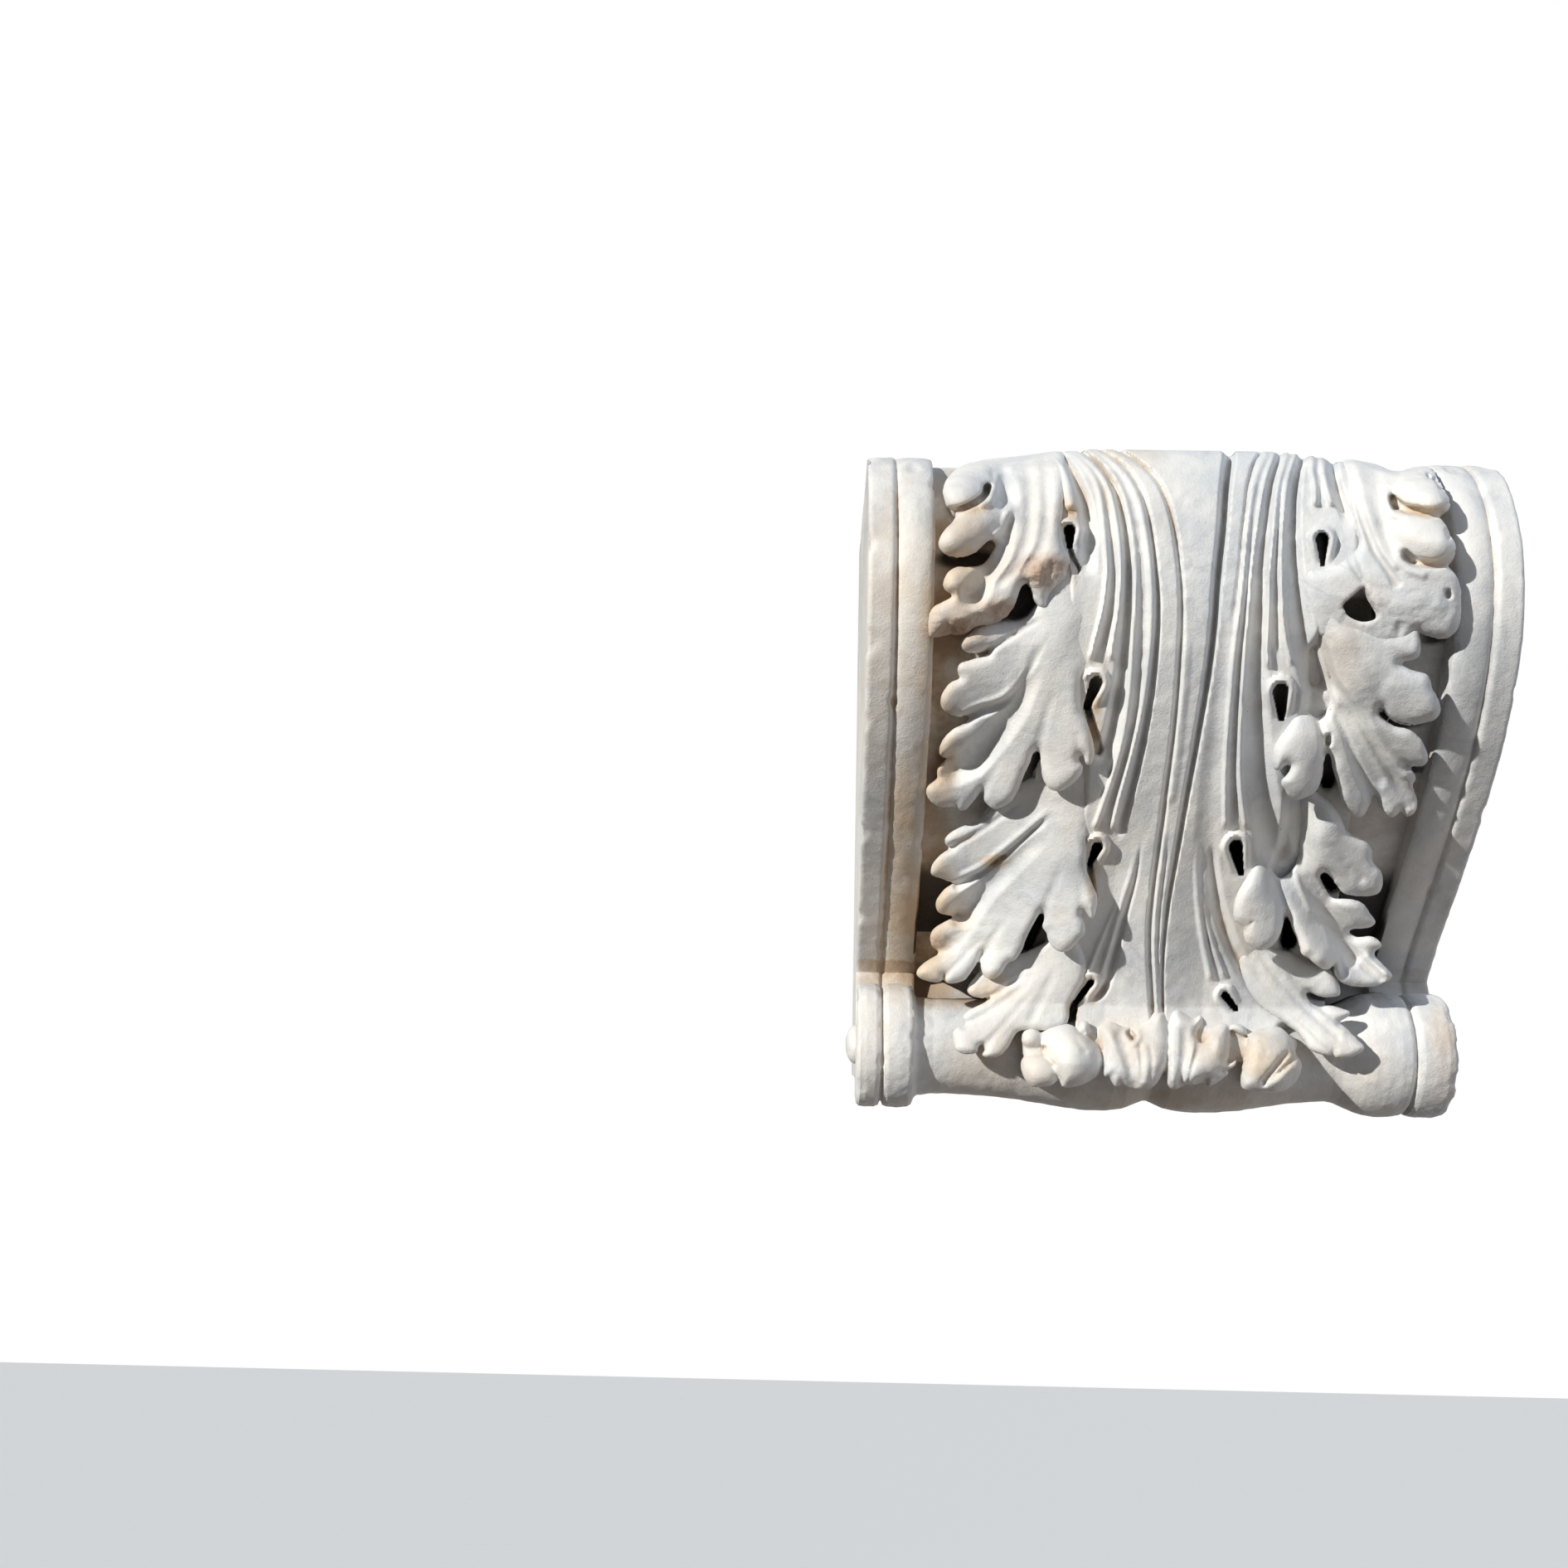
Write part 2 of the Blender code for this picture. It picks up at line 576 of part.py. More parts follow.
def keep_largest(item):
    # The corbel is one stone: crumbs and closed pockets inside it are dropped.
    bm = bmesh.new()
    bm.from_mesh(item.data)
    unseen = set(bm.verts)
    groups = []
    while unseen:
        first = unseen.pop()
        found, queue = {first}, [first]
        while queue:
            for edge in queue.pop().link_edges:
                for vert in edge.verts:
                    if vert in unseen:
                        unseen.discard(vert)
                        found.add(vert)
                        queue.append(vert)
        groups.append(found)
    groups.sort(key=len)
    loose = [vert for found in groups[:-1] for vert in found]
    bmesh.ops.delete(bm, geom=loose, context="VERTS")
    bm.to_mesh(item.data)
    bm.free()


def thin_carving(carving):
    soften = carving.modifiers.new("soften", "SMOOTH")
    soften.factor = 0.5
    soften.iterations = 3
    thin = carving.modifiers.new("thin", "DECIMATE")
    thin.ratio = min(1.0, CARVING_FACES / (2 * len(carving.data.polygons)))
    settle(carving)


def top_cutter(group):
    bpy.ops.mesh.primitive_cube_add(size=1.0)
    saw = bpy.context.active_object
    saw.name = "top_cutter"
    for other in list(saw.users_collection):
        other.objects.unlink(saw)
    group.objects.link(saw)
    for corner in saw.data.vertices:
        corner.co.x *= 2 * WIDTH
        corner.co.y = (corner.co.y - 0.5) * 2 * PROJECTION
        corner.co.z = (corner.co.z + 0.5) * CUT_SPARE + HALF_HEIGHT - TOP_GAP
    saw.data.update()
    return saw


def combine(item, other, operation, solver="EXACT"):
    step = item.modifiers.new(operation.lower(), "BOOLEAN")
    step.operation = operation
    step.solver = solver
    step.object = other


def build():
    clear_scene()
    stone = marble()
    group = new_collection("corbel")
    guides = new_collection("guides")

    carving = settle(carve_leaf(guides))
    keep_largest(carving)
    thin_carving(carving)
    combine(carving, as_guide(top_cutter(guides)), "DIFFERENCE", "MANIFOLD")

    corbel = carve_block(group)
    corbel.name = "corbel"
    roll = weld(settle(turn_roll(guides)), SMALLEST_EDGE)
    bosses = [boss("boss_left", -1, guides), boss("boss_right", 1, guides)]
    combine(corbel, as_guide(roll), "UNION")
    # The thinned carving has crevices that an exact union leaves open.
    for item in (carving, *bosses):
        combine(corbel, as_guide(item), "UNION", "MANIFOLD")
    for side, side_name in ((-1, "left"), (1, "right")):
        for number, ((across, up), lean, fan, fingers) in enumerate(TIERS):
            name = "eye_%s_%d" % (side_name, number)
            drill = eye_drill(name, side * across, up, side * lean, guides)
            combine(corbel, as_guide(drill), "DIFFERENCE", "MANIFOLD")
    settle(corbel)
    keep_largest(corbel)
    part_touching(corbel)
    close_skin(corbel)
    corbel.data.materials.clear()
    corbel.data.materials.append(stone)


build()
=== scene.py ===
import math

import bpy
import numpy as np
from mathutils import Matrix, Vector


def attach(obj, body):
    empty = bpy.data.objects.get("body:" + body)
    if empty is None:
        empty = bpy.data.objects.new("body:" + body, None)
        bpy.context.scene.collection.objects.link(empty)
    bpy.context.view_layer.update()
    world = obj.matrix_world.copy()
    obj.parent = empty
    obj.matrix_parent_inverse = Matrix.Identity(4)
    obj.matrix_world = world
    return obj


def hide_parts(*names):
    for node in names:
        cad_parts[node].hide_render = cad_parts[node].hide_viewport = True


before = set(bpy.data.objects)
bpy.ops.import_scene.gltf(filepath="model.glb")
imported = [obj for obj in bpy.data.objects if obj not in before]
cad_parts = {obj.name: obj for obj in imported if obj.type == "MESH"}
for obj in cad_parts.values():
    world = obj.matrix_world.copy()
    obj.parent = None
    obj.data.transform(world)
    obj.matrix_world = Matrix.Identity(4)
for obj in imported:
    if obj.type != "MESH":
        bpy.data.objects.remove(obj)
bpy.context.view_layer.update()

# Plan drawings below are in millimetres: across, then up, as the camera sees the leaf.
# Depths and the finished meshes are in metres.
mm = 0.001

stone = {
    "halfWidth": 0.175,
    "halfHeight": 0.176,
    "topDepth": 0.209,       # flat top, measured at the bands
    "outerBand": 0.0150,
    "innerBand": 0.0200,
    "bandGroove": 0.0010,
    "bandRound": 0.0030,
    "innerRound": 0.0085,
    "beadLip": 0.0012,       # how far the inner band's edges turn down
    "fieldDepth": 0.0180,
    "rollDepth": 0.112,
    "rollDrop": 0.156,
    "topLimit": 0.1757,      # nothing of the leaf stands above the flat top
    "topSpare": 0.002,       # but it is worked out a little further
    "rootDepth": 0.006,      # how far the carving reaches into the sunk field
    "seam": 0.00002,         # points closer than this are merged
}


# Selecting, reading and writing meshes

def pickOnly(item):
    bpy.ops.object.select_all(action="DESELECT")
    item.select_set(True)
    bpy.context.view_layer.objects.active = item


def readPoints(item, kind="co"):
    values = np.empty(len(item.data.vertices) * 3)
    item.data.vertices.foreach_get(kind, values)
    return values.reshape(-1, 3)


def writePoints(item, points):
    item.data.vertices.foreach_set("co", points.ravel())
    item.data.update()


def readEdges(item):
    edges = np.empty(len(item.data.edges) * 2, dtype=np.int64)
    item.data.edges.foreach_get("vertices", edges)
    return edges[0::2], edges[1::2]


def newGrid(name, columns, rows):
    bpy.ops.object.select_all(action="DESELECT")
    bpy.ops.mesh.primitive_grid_add(x_subdivisions=columns, y_subdivisions=rows, size=1)
    item = bpy.context.object
    item.name = name
    return item


def editOpenEdges():
    # goes into edit mode with only the open edges selected
    bpy.ops.object.mode_set(mode="EDIT")
    bpy.ops.mesh.select_all(action="DESELECT")
    bpy.ops.mesh.select_non_manifold()


def faceOutwards():
    # turns all faces outwards and leaves edit mode
    bpy.ops.mesh.select_all(action="SELECT")
    bpy.ops.mesh.normals_make_consistent(inside=False)
    bpy.ops.object.mode_set(mode="OBJECT")


def applyModifier(item, kind, **settings):
    pickOnly(item)
    step = item.modifiers.new(kind.lower(), kind)
    for name, value in settings.items():
        setattr(step, name, value)
    bpy.ops.object.modifier_apply(modifier=step.name)


def smoothLook(item, angle=40):
    pickOnly(item)
    bpy.ops.object.shade_smooth_by_angle(angle=math.radians(angle))


def meshPiece(name, corners, faces):
    mesh = bpy.data.meshes.new(name)
    mesh.from_pydata(corners, [], faces)
    item = bpy.data.objects.new(name, mesh)
    bpy.context.scene.collection.objects.link(item)
    return item


def triangleCount(item):
    return sum(len(face.vertices) - 2 for face in item.data.polygons)


def grain(points, size, seed):
    # soft lumps of one size, the same at every run
    cells = 32
    table = np.random.default_rng(seed).random((cells, cells, cells)) * 2 - 1
    spots = points / size
    cell = np.floor(spots).astype(int)
    part = spots - cell
    part = part * part * (3 - 2 * part)
    total = np.zeros(len(points))
    for i in (0, 1):
        for j in (0, 1):
            for k in (0, 1):
                weight = np.ones(len(points))
                for axis, end in enumerate((i, j, k)):
                    weight = weight * (part[:, axis] if end else 1 - part[:, axis])
                total += weight * table[tuple((cell + (i, j, k)).T % cells)]
    return total


def lumpsOf(points, lumps):
    # several sizes of lumps, each given as size, seed and height
    return sum(grain(points, size, seed) * height for size, seed, height in lumps)


def ramp(value, low, high):
    share = np.clip((value - low) / (high - low), 0.0, 1.0)
    return share * share * (3 - 2 * share)


# Depth of the bands and of the leaf at each height

def bezier(start, first, second, end, count):
    t = np.linspace(0, 1, count)[:, None]
    s = 1 - t
    return (s**3 * np.array(start) + 3 * s * s * t * np.array(first)
            + 3 * s * t * t * np.array(second) + t**3 * np.array(end))


bandLine = np.vstack([
    bezier((-0.209, 0.176), (-0.2474, 0.176), (-0.273, 0.1342), (-0.273, 0.100), 40),
    bezier((-0.273, 0.100), (-0.273, 0.01096), (-0.13725, -0.06112), (-0.092, -0.112), 90)[1:],
])
leafLine = np.vstack([
    bezier((-0.238, 0.176), (-0.258, 0.172), (-0.267, 0.1342), (-0.267, 0.100), 30),
    bezier((-0.267, 0.100), (-0.267, 0.031), (-0.186, -0.061), (-0.155, -0.130), 60)[1:],
    bezier((-0.155, -0.130), (-0.155, -0.141), (-0.158, -0.152), (-0.161, -0.164), 12)[1:],
])
sideLine = np.array([
    (176, -211), (170, -226), (162, -242), (150, -258), (140, -267), (128, -273), (112, -276), (96, -276),
    (80, -273), (60, -265), (40, -252), (20, -236), (0, -217), (-20, -200), (-40, -184), (-60, -170),
    (-80, -158), (-100, -150), (-120, -148), (-145, -152), (-170, -158),
]) * mm


def bandFront(z):
    return np.interp(z, bandLine[::-1, 1], bandLine[::-1, 0])


def leafMiddle(z):
    return np.interp(z, leafLine[::-1, 1], leafLine[::-1, 0])


def leafFront(x, z):
    side = np.interp(z, sideLine[::-1, 0], sideLine[::-1, 1])
    share = ramp(np.abs(x), 0.040, 0.125)
    return leafMiddle(z) * (1 - share) + side * share


def rooting(z):
    # depth at which the carving is rooted in the block, or in the roll
    field = bandFront(z) + stone["fieldDepth"] + stone["rootDepth"]
    return np.where(z > bandLine[-1, 1], field, -stone["rollDepth"])


# The camera's place, and the rounds in which a place on the leaf and its depth settle
sight = np.array([-0.19737, -1.27126, -0.14911])
settleTurns = 8


def onLeaf(x, z, lift):
    # takes a drawn place, as seen by the camera, to its real place on the leaf
    x, z, lift = np.broadcast_arrays(*(np.asarray(v, float) for v in (x, z, lift)))
    drawn = leafMiddle(z)
    depth = leafFront(x, z) - lift
    for turn in range(settleTurns):
        scale = (depth - sight[1]) / (drawn - sight[1])
        realX = sight[0] + (x - sight[0]) * scale
        realZ = np.minimum(sight[2] + (z - sight[2]) * scale, stone["topLimit"] + stone["topSpare"])
        depth = 0.5 * depth + 0.5 * (leafFront(realX, realZ) - lift)
    return np.stack([realX, depth, realZ], -1)


# Weathering and painted shade, shared by all pieces

def neighbourMean(item, points):
    count = len(points)
    a, b = readEdges(item)
    number = np.bincount(a, minlength=count) + np.bincount(b, minlength=count)
    mean = np.empty_like(points)
    for axis in range(points.shape[1]):
        mean[:, axis] = np.bincount(a, points[b, axis], count) + np.bincount(b, points[a, axis], count)
    return mean / np.maximum(number, 1)[:, None]


def lineDistance(flat, line):
    # distance to a drawn line in the plan, and the share of the way along it
    best = np.full(len(flat), 1e9)
    along = np.zeros(len(flat))
    count = len(line) - 1
    for number, (start, end) in enumerate(zip(line, line[1:])):
        start, end = np.array(start, float), np.array(end, float)
        run = end - start
        t = np.clip(((flat - start) @ run) / (run @ run), 0, 1)
        gap = np.linalg.norm(flat - start - t[:, None] * run, axis=1)
        closer = gap < best
        best[closer] = gap[closer]
        along[closer] = (number + t[closer]) / count
    return best, along


def drawnPlace(points):
    # where the camera sees a point in the plan drawing, in millimetres
    scale = np.ones(len(points))
    for turn in range(settleTurns):
        up = sight[2] + (points[:, 2] - sight[2]) * scale
        scale = 0.5 * scale + 0.5 * (leafMiddle(up) - sight[1]) / (points[:, 1] - sight[1])
    across = sight[0] + (points[:, 0] - sight[0]) * scale
    return np.stack([across, sight[2] + (points[:, 2] - sight[2]) * scale], 1) / mm


# Warm stains; some stand for shade, painted under the curled knobs, at the eyes' feet and low on the roll
# and the curled tip: across, up, reach across, reach up, strength
stainsAndShade = [
    (-160, 70, 24, 120, 0.5), (-138, 40, 14, 90, 0.8), (-80, 130, 16, 40, 0.35), (-30, 170, 26, 12, 0.5),
    (-60, -30, 6, 20, 0.35), (45, -90, 6, 24, 0.45), (-125, 20, 10, 30, 0.35), (-120, 134, 13, 5, 1),
    (-120, 103, 15, 6, 1), (125, 136, 14, 5, 0.8), (129, 107, 12, 4, 0.8), (-65.5, 133, 5, 7, 0.9),
    (-50, 28, 4, 8, 0.9), (-43, -56, 4, 8, 0.7), (-100, -52, 9, 4, 1), (-120, -84, 9, 8, 0.9),
    (-128, -95, 8, 7, 0.8), (-122, -73, 9, 8, 0.55), (-100, -124, 14, 6, 0.7), (100, 95, 10, 8, 0.2),
    (-60, 12, 6, 18, 0.3), (-50, 15, 5, 12, 0.9), (-44, -64, 4, 10, 0.9), (-50, -134, 4, 7, 0.9),
    (-112, 90, 30, 24, 0.5), (-152, -60, 12, 75, 0.9), (-150, 60, 10, 60, 0.35), (-136, -85, 16, 45, 1),
    (-124, 95, 22, 50, 0.75), (-132, 0, 10, 30, 0.8), (-104, 100, 26, 50, 0.35), (-68, 132, 9, 14, 0.6),
    (-50, 45, 9, 12, 0.5), (-42, -45, 9, 14, 0.5), (-40, -120, 10, 14, 0.5), (-25, 165, 18, 10, 0.45),
    (-15, 135, 10, 30, 0.25), (80, 55, 18, 24, 0.45), (165, -140, 14, 18, 0.55), (150, 168, 24, 10, 0.35),
    (112, 140, 6, 8, 0.6), (34, -72, 10, 26, 0.3), (28, -158, 18, 14, 0.6), (60, -158, 22, 16, 0.8),
    (-10, -160, 24, 16, 0.5), (-20, -140, 10, 5, 0.3), (-50, -172, 90, 8, 0.35), (-165, -150, 14, 30, 0.4),
    (0, -150, 60, 22, 0.5), (-90, -165, 40, 30, 0.5), (0, -184, 100, 12, 0.55), (110, -160, 30, 24, 0.4),
    (-152, -100, 22, 30, 0.6), (-118, 40, 12, 6, 0.3), (-118, -40, 12, 5, 0.45), (-96, -118, 10, 6, 0.6),
    (-62, -80, 8, 10, 0.3), (40, -30, 8, 30, 0.2), (-70, 20, 10, 60, 0.15), (-45, 150, 20, 26, 0.3),
    (-100, -126, 26, 8, 0.5), (50, 40, 10, 18, 0.25)]
# Fresh broken faces: across, up, reach across, reach up, strength
breaks = [
    (-128, 68, 15, 6, 1), (-104, 78, 12, 6, 0.9), (-80, 99, 15, 9, 1), (-132, -96, 8, 6, 0.8),
    (-134, -8, 6, 5, 0.5), (90, 86, 14, 12, 0.25), (165, -165, 12, 26, 0.3)]
# Places where the surface is rough: across, up, reach across, reach up, strength
roughPlaces = [
    (110, 82, 34, 15, 0.55), (78, 80, 12, 12, 0.4), (60, -160, 30, 12, 0.3), (-110, -92, 16, 8, 0.4),
    (130, 158, 10, 8, 0.5)]
# Drilled places and gaps painted black as shade: across, up, reach across, reach up, strength
blackShadePlaces = [
    (-66.5, 118, 6, 13, 1), (-52, 35, 8, 13, 1), (-44, -47, 6, 10, 1), (-44.5, -123, 8, 10, 1),
    (69, 114, 6, 15, 1), (50, 32, 7, 14, 1), (36.5, -49, 7, 13, 1), (40.5, -127, 8, 8, 1),
    (-93, 82, 11, 12, 1), (90, 83, 13, 12, 1), (-80, 0, 6, 8, 1), (-76, -90, 9, 13, 1), (80, -2, 6, 10, 1),
    (70, -88, 6, 10, 1), (89, -60, 10, 6, 1), (-122, 105, 17, 6, 0.9), (77.5, 14, 3, 4, 0.8),
    (114, 25, 15, 5, 1), (-108, -104, 5, 8, 0.9), (-86, -107, 4, 5, 0.6), (23, -147, 4, 6, 0.9),
    (95, -122, 12, 4, 0.9), (105, -115, 8, 5, 0.9), (128, 67, 8, 4, 0.8), (135.5, 90, 3, 4, 0.9),
    (124, 0, 8, 3, 0.8), (108, -86, 8, 3, 0.8), (-118, -118, 10, 3, 0.7), (117, 108, 5, 5, 0.7),
    (110, 141, 4, 5, 0.7), (-52, -135, 6, 7, 0.8), (-57, 2, 3, 4, 0.5)]


def tintFrom(drawn, spots):
    total = np.zeros(len(drawn))
    for across, up, wide, high, strength in spots:
        far = ((drawn[:, 0] - across) / wide) ** 2 + ((drawn[:, 1] - up) / high) ** 2
        total = np.maximum(total, strength * np.exp(-0.9 * far**1.5))
    return total


wearAndShadeLook = {
    "softTurns": 14,             # rounds of smoothing that hollows are measured against
    "hollowReach": 0.0012,
    "carvedHalf": 0.140,         # the carved part of the front: half width, foot, top and back
    "carvedFoot": -0.165,
    "carvedTop": 0.1746,
    "carvedBack": -0.10,
    "shade": 0.93,               # painted shade on the ground behind the leaf, as a share of the full mark
    "shadeDepths": (0.009, 0.024),
    # painted black shade at the listed places, fading in between two depths behind the leaf
    "blackShadeGain": 1.4,
    "blackShadeDepths": (0.003, 0.010),
    # and painted black shade wherever the stone lies deep enough behind the leaf
    "blackDepths": (0.024, 0.038),
}


def recordWearAndShade(item):
    # writes, for the material: painted shade with dirt in hollows and behind the leaf, painted black shade
    # in deep places, stains (some of them painted shade) and broken faces
    look = wearAndShadeLook
    points = readPoints(item)
    normals = readPoints(item, "normal")
    soft = points
    for turn in range(look["softTurns"]):
        soft = neighbourMean(item, soft)
    # painted shade, with dirt, in concave places: how far the smoothed surface lies out along the normal
    shadeAndDirt = 0.5 + 0.5 * np.einsum("ij,ij->i", soft - points, normals) / look["hollowReach"]
    carved = (np.abs(points[:, 0]) < look["carvedHalf"]) & (points[:, 1] < look["carvedBack"])
    carved = carved & (points[:, 2] > look["carvedFoot"]) & (points[:, 2] < look["carvedTop"])
    behind = points[:, 1] - leafFront(points[:, 0], points[:, 2])
    # painted shade on the ground behind the leaflets
    shadeAndDirt = np.maximum(shadeAndDirt, look["shade"] * ramp(behind, *look["shadeDepths"]) * carved)
    drawn = drawnPlace(points)
    # painted black shade in drilled eyes, gaps and places deep behind the leaf
    deep = tintFrom(drawn, blackShadePlaces) * look["blackShadeGain"] * ramp(behind, *look["blackShadeDepths"])
    deep = np.maximum(deep, ramp(behind, *look["blackDepths"])) * carved
    wearAndShade = {
        "shadeAndDirt": shadeAndDirt,
        "deep": deep,
        "stainAndShade": tintFrom(drawn, stainsAndShade),
        "broken": tintFrom(drawn, breaks),
    }
    for name, values in wearAndShade.items():
        layer = item.data.attributes.new(name, "FLOAT", "POINT")
        layer.data.foreach_set("value", np.clip(values, 0, 1).astype(np.float32))


finished = []


def finishPiece(item, angle=40):
    item.data.materials.clear()
    item.data.materials.append(marble)
    smoothLook(item, angle)
    recordWearAndShade(item)
    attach(item, "root")
    finished.append(item)
    print("piece", item.name, triangleCount(item), "triangles")
    return item


# One material, with its maths written as expressions

class Flow:
    def __init__(self, tree, socket):
        self.tree = tree
        self.socket = socket

    def node(self, kind, settings=None, **inputs):
        made = self.tree.nodes.new(kind)
        for name, value in (settings or {}).items():
            setattr(made, name, value)
        for name, value in inputs.items():
            # a socket goes by its name, or by i and its number
            target = made.inputs[int(name[1:]) if name[1:].isdigit() else name.replace("_", " ")]
            if isinstance(value, Flow):
                self.tree.links.new(value.socket, target)
            else:
                target.default_value = value
        return made

    def out(self, made, name=0):
        return Flow(self.tree, made.outputs[name])

    def maths(self, operation, other, swapped=False):
        pair = (other, self) if swapped else (self, other)
        return self.out(self.node("ShaderNodeMath", {"operation": operation}, i0=pair[0], i1=pair[1]))

    def __add__(self, other):
        return self.maths("ADD", other)

    def __radd__(self, other):
        return self.maths("ADD", other)

    def __sub__(self, other):
        return self.maths("SUBTRACT", other)

    def __rsub__(self, other):
        return self.maths("SUBTRACT", other, True)

    def __mul__(self, other):
        return self.maths("MULTIPLY", other)

    def __rmul__(self, other):
        return self.maths("MULTIPLY", other)

    def between(self, low, high):
        return self.out(self.node("ShaderNodeMapRange", {"interpolation_type": "SMOOTHSTEP"},
                                  Value=self, From_Min=low, From_Max=high))

    def blend(self, first, second):
        mixer = self.node("ShaderNodeMix", {"data_type": "RGBA"}, i0=self, i6=first, i7=second)
        return self.out(mixer, 2)


marbleLook = {
    "white": (0.82, 0.81, 0.785, 1),
    "cool": (0.66, 0.68, 0.70, 1),
    "vein": (0.46, 0.48, 0.50, 1),
    "warm": (0.68, 0.53, 0.37, 1),
    # earth colour: dirt and painted shade in hollows, and pits in broken faces
    "earthAndShade": (0.40, 0.27, 0.16, 1),
    # near black, painted as shade in deep places
    "blackShade": (0.030, 0.022, 0.016, 1),
    "broken": (0.56, 0.41, 0.31, 1),
    "speck": (0.10, 0.09, 0.08, 1),
    "clouds": (9.0, 5.0, 0.6, 0.4),      # noises: scale, detail, roughness and distortion
    "patches": (38.0, 6.0, 0.62),
    "sugar": (900.0, 3.0, 0.7),
    "pits": (260.0, 5.0, 0.7),
    "veins": (14.0, 8.0, 0.62, 1.6),
    "speckCells": 130.0,
    "speckPatches": 22.0,
    "roughness": 0.46,
    "bump": 0.6,
    "bumpDepth": 0.0012,
    "glow": 0.12,                        # light that goes into the stone, and how far
    "glowReach": 0.003,
    "glowColour": (1.0, 0.85, 0.7),
    "shine": 0.4,
}


def makeMarble():
    look = marbleLook
    material = bpy.data.materials.new("marble")
    material.use_nodes = True
    tree = material.node_tree
    shader = tree.nodes["Principled BSDF"]
    start = Flow(tree, None)
    place = start.out(start.node("ShaderNodeTexCoord"), "Object")

    def noiseOf(scale, detail=4.0, roughness=0.55, distortion=0.0):
        return start.out(start.node("ShaderNodeTexNoise", Vector=place, Scale=scale, Detail=detail,
                                    Roughness=roughness, Distortion=distortion))

    def written(name):
        return start.out(start.node("ShaderNodeAttribute", {"attribute_name": name}), "Fac")

    # painted shade with dirt, painted black shade, stains partly painted shade, and broken faces
    shadeAndDirt, deep, stainAndShade, broken = (written(name) for name in ("shadeAndDirt", "deep", "stainAndShade", "broken"))
    cloud, patches, sugar, pits, veins = (noiseOf(*look[name])
                                          for name in ("clouds", "patches", "sugar", "pits", "veins"))

    veinLine = 1 - (veins - 0.5).maths("ABSOLUTE", 0.0).between(0.004, 0.045)
    colour = (cloud * 0.6 + patches * 0.4).between(0.40, 0.60).blend(look["white"], look["cool"])
    colour = (veinLine * cloud.between(0.45, 0.62) * 0.35).blend(colour, look["vein"])
    # warm tint from the stains, some of them painted shade, and a little warm painted shade in hollows
    warmth = stainAndShade * patches.between(0.30, 0.62) * 0.6 + stainAndShade * 0.5 + shadeAndDirt.between(0.62, 0.88) * 0.16
    colour = (warmth.between(0.05, 1.0) * 0.85).blend(colour, look["warm"])
    # earth colour in hollows: dirt together with painted shade
    shadeAndDirtMix = shadeAndDirt.between(0.62, 0.95) * (0.35 + stainAndShade)
    colour = (shadeAndDirtMix * patches.between(0.35, 0.6) * 0.75).blend(colour, look["earthAndShade"])
    colour = (broken * patches.between(0.20, 0.50)).blend(colour, look["broken"])
    colour = (broken * pits.between(0.52, 0.66) * 0.6).blend(colour, look["earthAndShade"])
    # painted black shade in deep places
    colour = (deep.between(0.15, 0.9) * 0.97).blend(colour, look["blackShade"])
    cells = start.node("ShaderNodeTexVoronoi", {"feature": "F1"}, Vector=place, Scale=look["speckCells"])
    speck = 1 - start.out(cells, "Distance").between(0.03, 0.09)
    speck = speck * noiseOf(look["speckPatches"]).between(0.57, 0.64)
    colour = (speck * 0.75).blend(colour, look["speck"])
    tree.links.new(colour.socket, shader.inputs["Base Color"])

    rough = look["roughness"] + 0.25 * sugar.between(0.3, 0.7) + 0.2 * broken
    tree.links.new(rough.socket, shader.inputs["Roughness"])
    shader.inputs["Subsurface Weight"].default_value = look["glow"]
    shader.inputs["Subsurface Radius"].default_value = look["glowColour"]
    shader.inputs["Subsurface Scale"].default_value = look["glowReach"]
    shader.inputs["Specular IOR Level"].default_value = look["shine"]

    relief = pits * (0.60 + broken * 1.8) + sugar * 0.45 + patches * 0.5
    bump = start.node("ShaderNodeBump", Height=relief, Strength=look["bump"], Distance=look["bumpDepth"])
    tree.links.new(bump.outputs["Normal"], shader.inputs["Normal"])
    return material


marble = makeMarble()


# The block and the roll: a grid is wrapped round, its seam merged and its ends filled

def wrapGrid(name, around, along, shape):
    item = newGrid(name, around, along)
    points = readPoints(item)
    writePoints(item, shape(points[:, 0] + 0.5, points[:, 1] + 0.5))
    bpy.ops.object.mode_set(mode="EDIT")
    bpy.ops.mesh.select_all(action="SELECT")
    bpy.ops.mesh.remove_doubles(threshold=stone["seam"])
    editOpenEdges()
    bpy.ops.mesh.fill_holes(sides=0)
    faceOutwards()
    return item


def roundedEdge(share, radius):
    # how far a rounded edge drops at a share of the way out; it stops just short of upright
    return radius * (1 - np.sqrt(1 - share**2 * 0.98))


def bandSink(x):
    # how far the front lies behind the bands at a place across
    far = np.abs(x)
    outer = stone["halfWidth"] - stone["outerBand"]
    inner = outer - stone["bandGroove"]
    edge = inner - stone["innerBand"]
    turn = stone["bandRound"]
    toSide = np.clip(1 - (stone["halfWidth"] - far) / turn, 0, 1)
    toGroove = np.clip(1 - (far - outer) / turn, 0, 1)
    flat = roundedEdge(toSide, turn) + roundedEdge(toGroove, turn)
    middle = (inner + edge) / 2
    share = np.clip(np.abs(far - middle) / (stone["innerBand"] / 2), 0, 1)
    bead = stone["innerRound"] * (1 - np.sqrt(1 - (0.75 * share) ** 2)) + stone["beadLip"] * share**12
    sink = np.where(far >= outer, flat, np.where(far >= inner, turn + 0.0005, bead))
    return np.where(far < edge - 0.0005, stone["fieldDepth"], sink)


